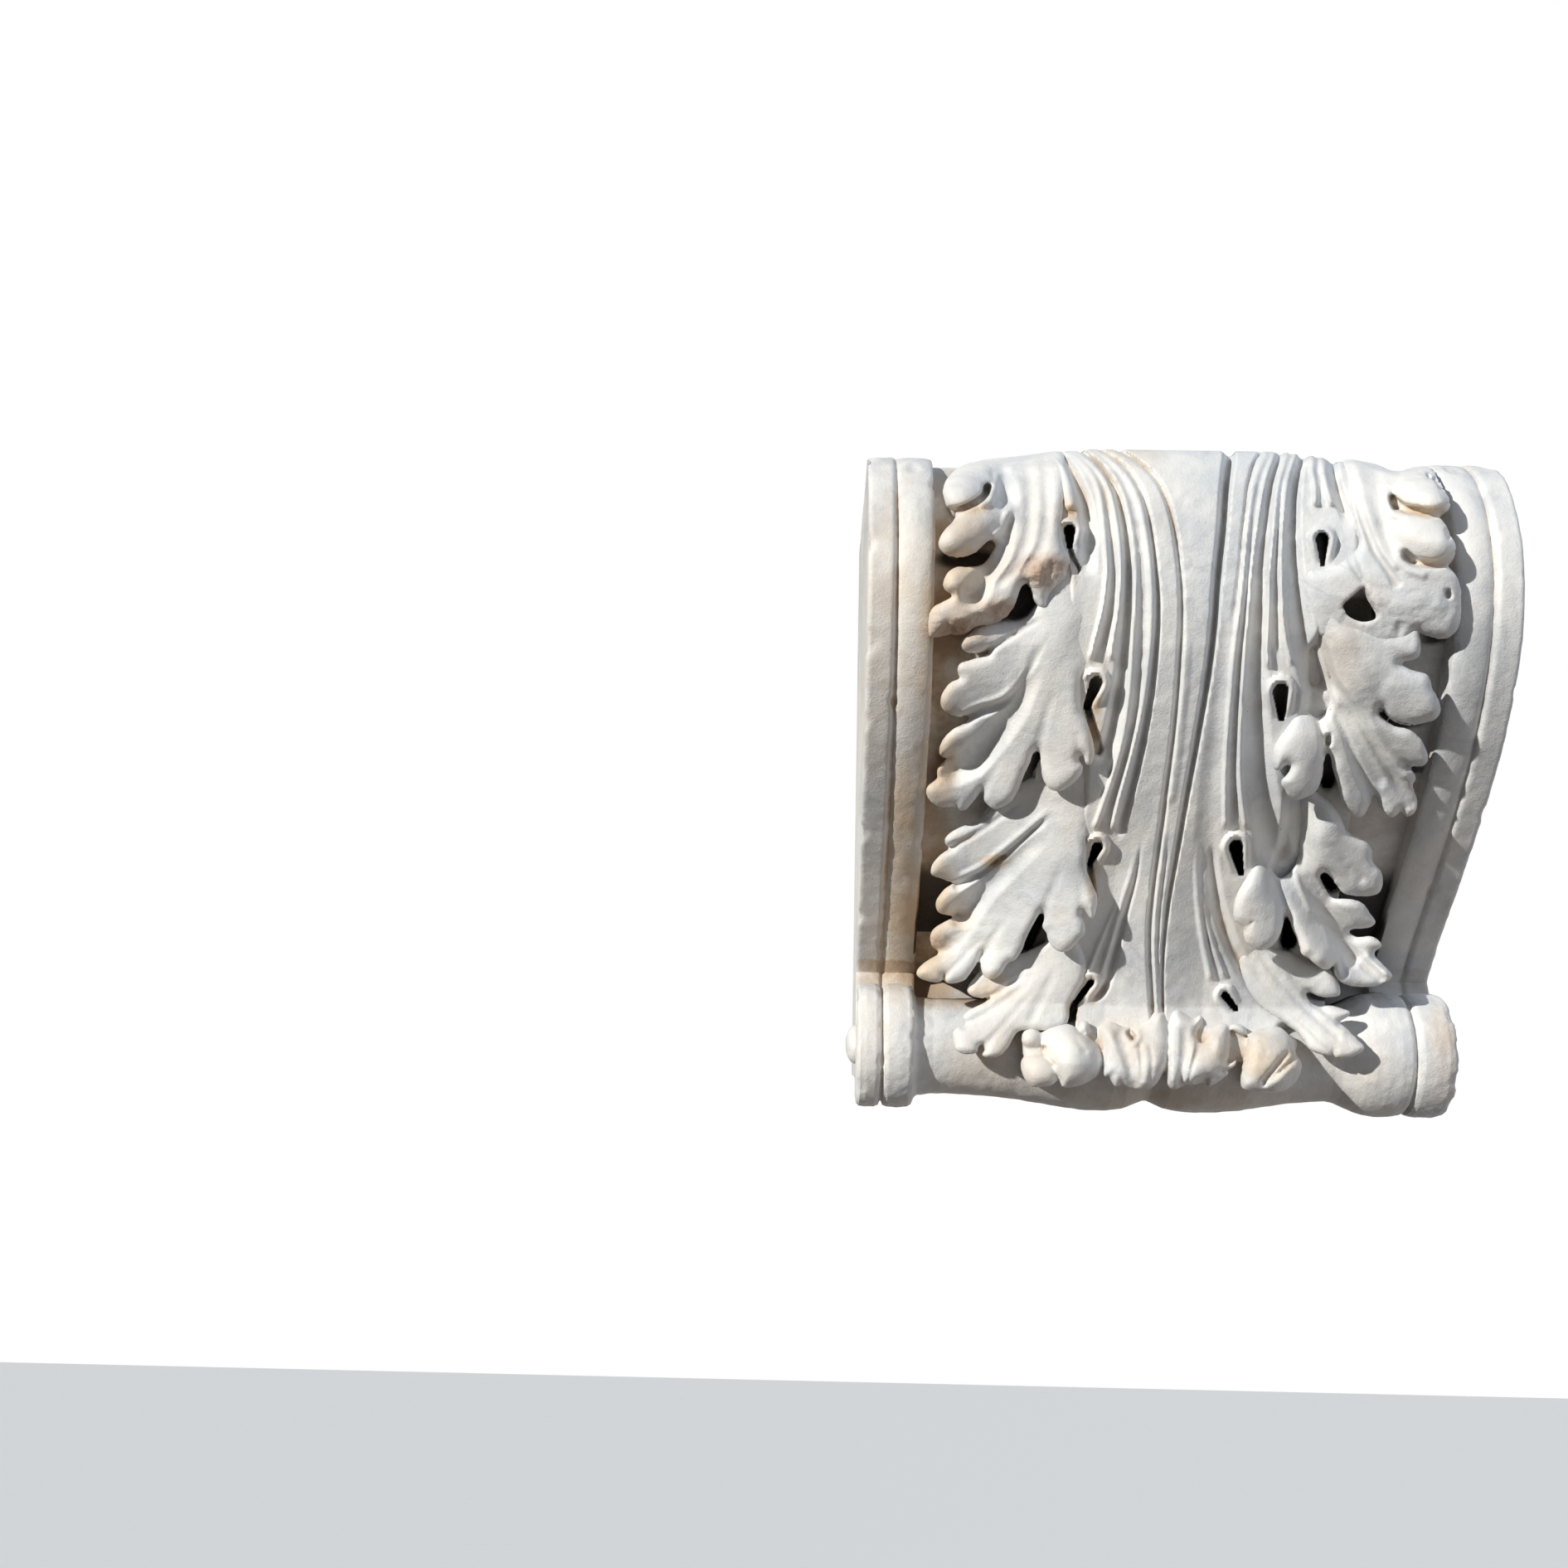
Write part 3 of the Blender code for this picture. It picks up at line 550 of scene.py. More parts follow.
# Chips out of the block's arrises: across, up, reach and depth
blockChips = [
    (-175, 112, 6, 1.2), (-174, 60, 8, 1.3), (-175, 20, 5, 0.9), (-175, -35, 6, 1.2), (-175, -80, 5, 1),
    (176, 40, 4, 0.7), (176, -20, 5, 0.8), (176, 100, 4, 0.6), (160, 120, 4, 0.8), (-139, 150, 4, 1),
    (-160, 30, 4, 0.8), (-139, -40, 4, 0.8), (160, -60, 5, 0.9), (-160, -95, 4, 0.8), (139, 60, 4, 0.8),
    (150, 168, 6, 1.6), (-150, 162, 5, 1.2), (-175, 170, 6, 1.8), (173, 174, 7, 2.2)]

blockLook = {
    "frontRows": 190,
    "rollSpace": 0.022,      # from the roll's middle to the upright behind it
    "lumps": [(0.030, 3, 0.0003), (0.006, 4, 0.00022), (0.0025, 5, 0.00012)],
    "chipLimit": -0.03,      # behind this the arrises are whole
    "chipCore": 0.35,        # share of a chip's reach that has its full depth
    "backFlat": 0.002,       # the back face's points lie within this
    "topFlat": 0.0005,       # and the top's points within this of the top
}


def chipAway(points, normals, chips):
    core = blockLook["chipCore"]
    for across, up, reach, deep in chips:
        far = np.hypot(points[:, 0] / mm - across, points[:, 2] / mm - up)
        front = points[:, 1] < blockLook["chipLimit"]
        points = points - normals * (ramp(-far, -reach, -reach * core) * deep * mm * front)[:, None]
    return points


def makeBlock():
    lengths = np.concatenate([[0], np.cumsum(np.linalg.norm(np.diff(bandLine, axis=0), axis=1))])
    even = np.linspace(0, lengths[-1], blockLook["frontRows"])
    front = np.stack([np.interp(even, lengths, bandLine[:, k]) for k in (0, 1)], 1)
    half = stone["halfHeight"]
    corners = [
        (-stone["rollDepth"], -stone["rollDrop"]), (-stone["rollDepth"] + blockLook["rollSpace"], -half),
        (0, -half), (0, half), (-stone["topDepth"], half)]
    rest = [np.linspace(start, end, count, endpoint=False)
            for start, end, count in zip(corners, corners[1:], (6, 16, 40, 30))]
    outline = np.vstack([front] + rest)
    frontCount = len(front)
    # across, close together where the bands turn
    side = np.concatenate([
        np.linspace(0.1750, 0.1715, 8), np.linspace(0.1700, 0.1640, 5), np.linspace(0.1630, 0.1600, 7),
        [0.1590], np.linspace(0.1582, 0.1398, 18), [0.1390, 0.1384], np.linspace(0.132, 0.008, 12)])
    stations = np.concatenate([side, -side[::-1]])
    around, along = len(outline), len(stations) - 1

    def shape(u, v):
        k = np.rint(u * around).astype(int) % around
        x = stations[np.rint(v * along).astype(int)]
        # the front is sunk, and the flat top ends where the sunk front starts
        y = outline[k, 0] + np.where(k < frontCount, bandSink(x), 0)
        y = np.maximum(y, outline[0, 0] + np.where(k < frontCount, -1, bandSink(x)))
        return np.stack([x, y, outline[k, 1]], 1)

    item = wrapGrid("block", around, along, shape)
    points, normals = readPoints(item), readPoints(item, "normal")
    worn = lumpsOf(points, blockLook["lumps"])
    # the back face stays flat, and the top doesn't rise
    worn = np.where(np.abs(points[:, 1]) < blockLook["backFlat"], 0, worn)
    worn = np.where(points[:, 2] > half - blockLook["topFlat"], np.minimum(worn, 0), worn)
    points = chipAway(points + normals * worn[:, None], normals, blockChips)
    writePoints(item, points)
    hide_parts("corbel")
    return finishPiece(item, 35)


# Radius of the roll at places across
rollShape = [
    (-175, 31), (-174.3, 34.6), (-172.6, 36.2), (-169, 36.7), (-163.5, 36.6), (-161.2, 35.6),
    (-160.2, 33.2), (-159.4, 33.2), (-158.4, 35.6), (-156, 36.6), (-150, 36.9), (-144, 36.3), (-141.6, 35),
    (-140.6, 32.6), (-139.6, 30.6), (-138.2, 29.4), (-130, 28.5), (-112, 28.5), (-95, 29.2), (-80, 30.6),
    (-65, 33), (-50, 35.2), (-37, 36.2), (-25, 36), (-16, 34.8), (-9, 32.2), (-4, 30.2), (-1, 30),
    (3, 31.6), (9, 34.2), (18, 35.9), (28, 36.4), (40, 36), (54, 34.6), (68, 32.2), (82, 30.2), (96, 28.9),
    (105, 28.5), (110, 29.3), (116, 31.8), (122, 34.4), (127, 35.8), (134, 36.7), (142, 36.7),
    (147.5, 35.8), (149.6, 34.6), (150.4, 33), (151.2, 33), (152.2, 35.4), (155, 36.5), (162, 36.7),
    (169, 36.4), (172.6, 35.2), (174.3, 33.6), (175, 30.5)]
rollChips = [
    (174, -133, 5, 1), (175, -150, 4, 0.8), (174, -170, 6, 1.3), (175, -184, 5, 1), (168, -124, 4, 0.8),
    (-174, -128, 5, 0.9), (-173, -180, 6, 1), (-160, -165, 4, 0.7), (-141, -150, 4, 0.7)]

rollLook = {
    "around": 132,
    "step": 0.0014,
    "lumps": [(0.030, 11, 0.0005), (0.0045, 12, 0.00020)],
    "ringLumps": [(0.0026, 13, 0.00022), (0.0016, 14, 0.00012)],      # the rings at the ends are rougher
    "rings": (0.118, 0.135),         # places across between which the rings begin
    "stations": (-0.1738, 0.1740),   # between these it has a station at every step
    "endFace": 0.1748,
}


def makeRoll():
    table = np.array(rollShape) * mm
    places = np.unique(np.concatenate([table[:, 0], np.arange(*rollLook["stations"], rollLook["step"])]))
    radii = np.interp(places, table[:, 0], table[:, 1])
    around, along = rollLook["around"], len(places) - 1

    def shape(u, v):
        number = np.rint(v * along).astype(int)
        turn = 2 * math.pi * u
        x, radius = places[number], radii[number]
        y, z = -stone["rollDepth"] - radius * np.cos(turn), -stone["rollDrop"] + radius * np.sin(turn)
        return np.stack([x, y, z], 1)

    item = wrapGrid("roll", around, along, shape)
    points, normals = readPoints(item), readPoints(item, "normal")
    rings = ramp(np.abs(points[:, 0]), *rollLook["rings"])
    worn = lumpsOf(points, rollLook["lumps"]) + rings * lumpsOf(points, rollLook["ringLumps"])
    worn = np.where(np.abs(points[:, 0]) > rollLook["endFace"], 0, worn)     # the end faces stay flat
    points = chipAway(points + normals * worn[:, None], normals, rollChips)
    writePoints(item, points)
    return finishPiece(item, 40)


bossLook = {"radius": 0.0115, "height": 0.0060, "lump": (0.004, 21, 0.00025)}


def makeBoss(name, side):
    bpy.ops.object.select_all(action="DESELECT")
    bpy.ops.mesh.primitive_uv_sphere_add(segments=48, ring_count=24, radius=bossLook["radius"])
    item = bpy.context.object
    item.name = name
    points = readPoints(item)
    points[:, 0] = points[:, 0] * bossLook["height"] / bossLook["radius"] + side * stone["halfWidth"]
    points[:, 1] -= stone["rollDepth"]
    points[:, 2] -= stone["rollDrop"]
    points += lumpsOf(points, [bossLook["lump"]])[:, None] * np.array([1, 0.5, 0.5])
    writePoints(item, points)
    return finishPiece(item)


# The ribs: a fine grid laid on the leaf's curve, with grooves, ridges and drilled eyes.
# Each line is (half widths, heights, [(up, across), ...]): both pairs are for the line's
# upper and lower end, and a height below nought is a groove.
ribLines = [
    ((1.4, 1.7), (-3.5, -4.5), [
        (173, -36), (168, -28), (160, -20.5), (150, -16), (140, -12.5), (120, -9.3), (100, -7.4), (80, -6),
        (40, -6), (20, -6.2), (0, -7.2), (-40, -8.8), (-70, -10), (-90, -9.8), (-110, -7), (-130, -4),
        (-142, -3)]),
    ((1.2, 1.9), (-2.6, -5), [
        (173, -46), (168, -40), (160, -33.5), (150, -28), (140, -25), (120, -22), (100, -20.3), (80, -18.7),
        (60, -19.2), (40, -20), (20, -22), (0, -24.5), (-20, -28), (-38, -31.5)]),
    ((0.9, 2.2), (-0.8, -6), [
        (-38, -18.5), (-60, -20), (-80, -24), (-100, -27.5), (-118, -31), (-130, -38)]),
    ((1.4, 3.4), (-4, -8.5), [
        (173, -58), (168, -53), (160, -47), (150, -42), (140, -39), (120, -36.3), (100, -35), (80, -35.2),
        (60, -36.3), (40, -37.5), (20, -40), (0, -44)]),
    ((2, 4.5), (-6, -6), [
        (173, -73), (168, -69), (160, -64.5), (150, -61), (140, -58), (120, -56), (96, -58)]),
    ((1.6, 1.5), (0.8, 4), [
        (173, -53), (160, -43.5), (150, -38.5), (140, -35.5), (120, -32.5), (100, -31), (60, -31.8),
        (40, -31.8), (20, -32.8), (0, -36), (-20, -41.5), (-34, -45.5)]),
    ((1.6, 1.5), (0.8, 4), [
        (173, -49), (160, -37), (150, -32), (140, -28.5), (120, -25.3), (100, -23.3), (80, -22.3),
        (60, -22.5), (40, -23.5), (20, -25.5), (0, -29.3), (-20, -33.5), (-34, -35.5)]),
    ((1.8, 1.9), (-0.4, -2), [
        (160, -40), (140, -32), (120, -29), (100, -27), (60, -27), (40, -27.5), (20, -29), (0, -32.5),
        (-20, -37.8), (-31, -39.8)]),
    ((1.6, 1.4), (0.6, 4.5), [
        (173, -65), (160, -55), (150, -50.5), (140, -49), (120, -47.6), (100, -46.3), (80, -48.2),
        (60, -53), (53, -54)]),
    ((1.6, 1.5), (0.6, 4.5), [
        (173, -61), (160, -50.5), (150, -45.2), (140, -42.7), (120, -40.2), (100, -39), (80, -40),
        (60, -42.7), (53, -43)]),
    ((1.2, 2), (-0.5, -2.4), [
        (160, -53), (150, -48), (140, -46), (120, -44), (100, -42.6), (80, -44.3), (60, -48), (54, -48.8)]),
    ((3, 3.2), (2, 5), [(173, -75), (165, -70.5), (160, -69), (150, -67.2), (140, -65.5), (134, -65)]),
    ((1.3, 1.2), (0.4, 3), [
        (-44, -21), (-60, -23.5), (-70, -26), (-80, -28), (-90, -30), (-100, -32), (-112, -34.8)]),
    ((1.3, 1.2), (0.4, 3), [
        (-66, -26), (-75, -30), (-85, -33.5), (-95, -37), (-105, -40.3), (-113, -42.5)]),
    ((2.7, 1), (-11, -3), [
        (173, 24.5), (160, 20.8), (150, 18.8), (140, 17.5), (120, 15.6), (108, 13.8), (100, 12.3),
        (80, 11.6), (60, 10.6), (40, 9), (20, 7), (0, 5.2), (-20, 3.2), (-40, 2), (-60, 0.2), (-80, -1),
        (-100, -0.8), (-120, 0.6), (-142, 3)]),
    ((1.1, 1.4), (-2.4, -1), [
        (173, 42), (165, 36), (157, 33.5), (150, 31), (140, 29.5), (120, 26.5), (105, 25), (85, 22.5),
        (70, 21)]),
    ((2, 6), (-0.3, -2.6), [(80, 17.5), (60, 17.5), (40, 16.5), (0, 16), (-30, 17), (-60, 19)]),
    ((1.7, 1.5), (0.8, 4), [
        (173, 45), (160, 37), (150, 34), (140, 31.5), (120, 28.5), (100, 26.7), (80, 25), (60, 22.8),
        (40, 22.5), (20, 22.7), (0, 23.4), (-15, 24.8), (-32, 27)]),
    ((1.7, 1.5), (0.8, 4), [
        (173, 49), (160, 43), (150, 39.5), (140, 38), (120, 34.5), (100, 31.3), (80, 30.2), (60, 29),
        (40, 28.8), (20, 29.5), (0, 31), (-15, 33.5), (-32, 38.5)]),
    ((1.6, 2), (-0.4, -2), [
        (160, 40), (140, 34.8), (120, 31.4), (100, 29), (60, 25.9), (20, 26.1), (0, 27.2), (-15, 29.2),
        (-29, 31.5)]),
    ((1.8, 7), (-4, -8), [
        (173, 52.5), (160, 46.5), (150, 43), (140, 41), (120, 37.5), (100, 35), (80, 34.8), (60, 34.5),
        (40, 35.5), (20, 38), (0, 41.5), (-20, 47), (-40, 54), (-52, 58)]),
    ((1.7, 1.4), (0.8, 4.5), [
        (173, 56), (160, 50.5), (150, 47), (140, 45.5), (120, 43), (100, 40.3), (80, 40), (60, 39.8),
        (50, 41.5)]),
    ((1.7, 1.5), (0.8, 4.5), [
        (173, 61), (160, 55), (150, 51.5), (140, 50), (120, 47.5), (100, 46.6), (80, 47.4), (70, 48.8),
        (60, 51), (52, 54.5)]),
    ((1.3, 1.9), (-0.4, -2.2), [
        (150, 49), (130, 46.2), (110, 44.4), (100, 43.5), (80, 43.6), (70, 44.3), (60, 45.4), (54, 47.5)]),
    ((2.2, 5.5), (-6, -9), [
        (173, 65), (160, 59), (150, 56.5), (140, 54.8), (120, 53), (100, 53.6), (80, 56.5), (66, 59.5),
        (54, 63), (44, 66.5), (36, 69)]),
    ((1.7, 1.7), (1.5, 4.5), [(173, 70), (160, 67), (150, 67.3), (138, 66.5)]),
    ((1.7, 1.7), (1.5, 4.5), [(173, 75), (160, 73), (150, 73.4), (138, 75.5)]),
    ((2.3, 3), (-6, -8), [(173, 81), (160, 78.5), (150, 79), (140, 81), (128, 84)]),
    ((1.5, 2), (0.8, 3.6), [
        (-38, 12.6), (-55, 13.6), (-70, 16), (-85, 19.5), (-97, 23), (-107, 26), (-115, 29)]),
    ((1.2, 1.4), (0.1, 3.2), [(-60, 16), (-75, 20), (-85, 23.3), (-95, 27.3), (-105, 32), (-114, 36.5)]),
    ((3, 3.6), (-3.5, -6), [
        (-34, 19), (-46, 20.5), (-60, 23.5), (-70, 26.5), (-80, 30.5), (-90, 35), (-100, 40.5),
        (-110, 47.5), (-120, 56), (-130, 66), (-138, 76)]),
    ((1.1, 1.3), (0.6, 1.6), [
        (-76, 31.5), (-90, 37), (-100, 43), (-110, 50), (-120, 58.5), (-130, 69), (-138, 80)]),
    ((1, 1), (0.9, 0.9), [(-30, -5.6), (-60, -6.6), (-80, -7), (-100, -5.6), (-120, -2.6), (-134, -1)]),
    ((0.8, 0.8), (-0.8, -1.2), [
        (-40, -3.4), (-60, -4.4), (-80, -4.6), (-100, -3.6), (-120, -0.8), (-134, 0.6)]),
    ((2.5, 2.5), (1.2, 1.2), [(70, -3.2), (40, -3), (0, -4), (-20, -5)])
]

# Eyes: head and foot of the drop, radii there and height of the rim
eyes = [
    ((-66.5, 122), (-66.5, 113), 3.2, 1.6, 6.5), ((-50.5, 41), (-54.5, 29.5), 3.5, 2.2, 7),
    ((-43.2, -43.5), (-46.4, -52), 3.1, 1.4, 6), ((-40.6, -117.6), (-48.4, -129), 2, 1.5, 4.5),
    ((69, 119), (68.7, 105), 3.6, 1.2, 6.5), ((49.2, 38), (51, 25), 4.3, 1.8, 7),
    ((33.8, -42), (38.6, -56), 3.9, 1.4, 6.5), ((37, -123.5), (44, -131), 2.2, 1.4, 4.5)
]
# Where the lobes leave a gap, the ribs behind are cut away too: two ends, radii there and depth
ribGaps = [
    ((-85, -5), (-79.5, 4), 3.5, 2, 30), ((-79, -96), (-72, -82), 4, 2.5, 30),
    ((80, -7), (79, 4), 3.5, 2, 30), ((70, -92), (68, -81), 4.5, 2, 30), ((90, -61), (85, -57), 3, 2, 30),
    ((-54.5, 29), (-47, 7), 2.4, 3.2, 9), ((-46.5, -52), (-43.5, -72), 1.8, 2.8, 8),
    ((-49, -130), (-52, -142), 2.2, 3.2, 9), ((-66.5, 112), (-63, 100), 1.6, 2.6, 7)
]

ribsLook = {
    "left": -80.0,
    "right": 95.0,
    "low": -156.0,
    "high": 175.0,
    "columns": 240,
    "rows": 255,
    "back": -0.105,
    "lump": (5.0, 31, 0.3),
    # the outer pipes' edges, at places up; outside them the leaflets take over
    "edgePlaces": [-142, -112, -60, -40, 0, 30, 60, 100, 140, 174],
    "leftEdge": [-66, -52, -46, -50, -50, -58, -64, -64, -71, -80],
    "rightEdge": [84, 60, 50, 56, 56, 60, 60, 84, 88, 90],
    "edgeFall": 5.0,
    "eyeDepth": 36,
    "rimWidth": 2.6,
    "lineRows": 90,          # each drawn line is read at so many heights
    "evenOver": 9,           # and evened out over so many of them
    "lineReach": 1.5,        # width of a groove's or a ridge's foot, for each half width
    "lineShape": 1.6,        # higher is narrower at the top
    "crownMiddle": -4.0,     # the lower stem falls off to both sides of this
    "crownFlat": 3,
    "crownSlope": 0.22,
    "crownDrop": 5.5,
    "footDrop": 14.0,
}


def dropDistance(x, z, head, foot, headRadius, footRadius):
    # distance to a drop shape, below nought inside it, and the share of the way to its foot
    runX, runZ = foot[0] - head[0], foot[1] - head[1]
    t = np.clip(((x - head[0]) * runX + (z - head[1]) * runZ) / (runX**2 + runZ**2), 0, 1)
    gap = np.hypot(x - head[0] - t * runX, z - head[1] - t * runZ)
    return gap - (headRadius + (footRadius - headRadius) * t), t


def ribRelief(x, z):
    # height of the carving over the leaf's curve, in millimetres, at drawn places
    look = ribsLook
    up = np.zeros_like(x)
    down = np.zeros_like(x)
    for widths, heights, line in ribLines:
        # the drawn line is evened out, and its ends fade
        line = np.array(line[::-1], float)
        rows = np.linspace(line[0, 0], line[-1, 0], look["lineRows"])
        middle = np.interp(rows, line[:, 0], line[:, 1])
        padded = np.pad(middle, look["evenOver"] // 2, mode="reflect", reflect_type="odd")
        middle = np.convolve(padded, np.ones(look["evenOver"]) / look["evenOver"], mode="valid")
        place = np.interp(z, rows, middle)
        slope = np.interp(z, rows, np.gradient(middle, rows))
        share = np.clip((z - line[0, 0]) / (line[-1, 0] - line[0, 0]), 0, 1)
        width = widths[1] + (widths[0] - widths[1]) * share
        height = heights[1] + (heights[0] - heights[1]) * share
        ends = ramp(z, line[0, 0] - 1.0, line[0, 0] + (3.0 if heights[1] > 0 else 10.0))
        if line[-1, 0] < 170:
            ends = ends * (1 - ramp(z, line[-1, 0] - 14.0, line[-1, 0] + 1.0))
        away = np.abs(x - place) / np.sqrt(1 + slope**2) / width
        shape = np.clip(1 - (away / look["lineReach"]) ** 2, 0, 1) ** look["lineShape"] * ends
        up = np.maximum(up, shape * np.maximum(height, 0))
        down = np.maximum(down, shape * np.maximum(-height, 0))
    total = up - down
    # outside the outer pipes the ribs fall away, further on the right
    leftEdge = np.interp(z, look["edgePlaces"], look["leftEdge"])
    rightEdge = np.interp(z, look["edgePlaces"], look["rightEdge"])
    fall = look["edgeFall"]
    rightFall = fall + fall * (1 - ramp(z, 75, 95)) * ramp(z, -90, -60)
    total -= fall * ramp(-x, -leftEdge, -leftEdge + 6) + rightFall * ramp(x, rightEdge, rightEdge + 6)
    for head, foot, headRadius, footRadius, rim in eyes:
        gap, t = dropDistance(x, z, head, foot, headRadius, footRadius)
        arch = np.clip(1 - ((gap - 2.0) / look["rimWidth"]) ** 2, 0, 1) ** 0.8 * (1 - 0.9 * t**1.5)
        if head[0] < 0:
            # no rim towards the leaflet
            arch *= 1 - 0.85 * ramp(head[0] - x, 0.5, 3.5) * (1 - ramp(z, head[1] + 1, head[1] + 5))
        total = np.maximum(total, rim * arch + np.where(arch > 0, -1.0, -99))
        total = np.where(gap < 0, total - look["eyeDepth"] * ramp(-gap, 0.0, 0.7), total)
    for head, foot, headRadius, footRadius, deep in ribGaps:
        gap, t = dropDistance(x, z, head, foot, headRadius, footRadius)
        total -= deep * ramp(-gap, 0.0, 1.0)
    # the lower stem is crowned
    off = np.maximum(np.abs(x - look["crownMiddle"]) - look["crownFlat"], 0)
    total -= np.minimum(look["crownSlope"] * off, look["crownDrop"]) * ramp(-z, 10, 60)
    # the lower end sinks into the roll behind the curled tip, and sooner at its sides
    atSides = ramp(-z, 137, 144) * np.maximum(ramp(x, 66, 74), ramp(-x, 48, 56))
    total -= look["footDrop"] * np.maximum(ramp(-z, 147, 155), atSides)
    return total


def makeRibs():
    look = ribsLook
    item = newGrid("ribs", look["columns"], look["rows"])
    flat = readPoints(item)
    x = look["left"] + (flat[:, 0] + 0.5) * (look["right"] - look["left"])
    z = look["low"] + (flat[:, 1] + 0.5) * (look["high"] - look["low"])
    relief = ribRelief(x, z) + lumpsOf(np.stack([x, x * 0, z], 1), [look["lump"]])
    points = onLeaf(x * mm, z * mm, relief * mm)
    points[:, 2] = np.minimum(points[:, 2], stone["topLimit"])
    writePoints(item, points)
    editOpenEdges()
    bpy.ops.mesh.extrude_region_move()
    bpy.ops.object.mode_set(mode="OBJECT")
    count = len(points)
    points = readPoints(item)
    points[count:, 1] = look["back"]
    writePoints(item, points)
    editOpenEdges()
    bpy.ops.mesh.edge_face_add()
    faceOutwards()
    return finishPiece(item, 60)


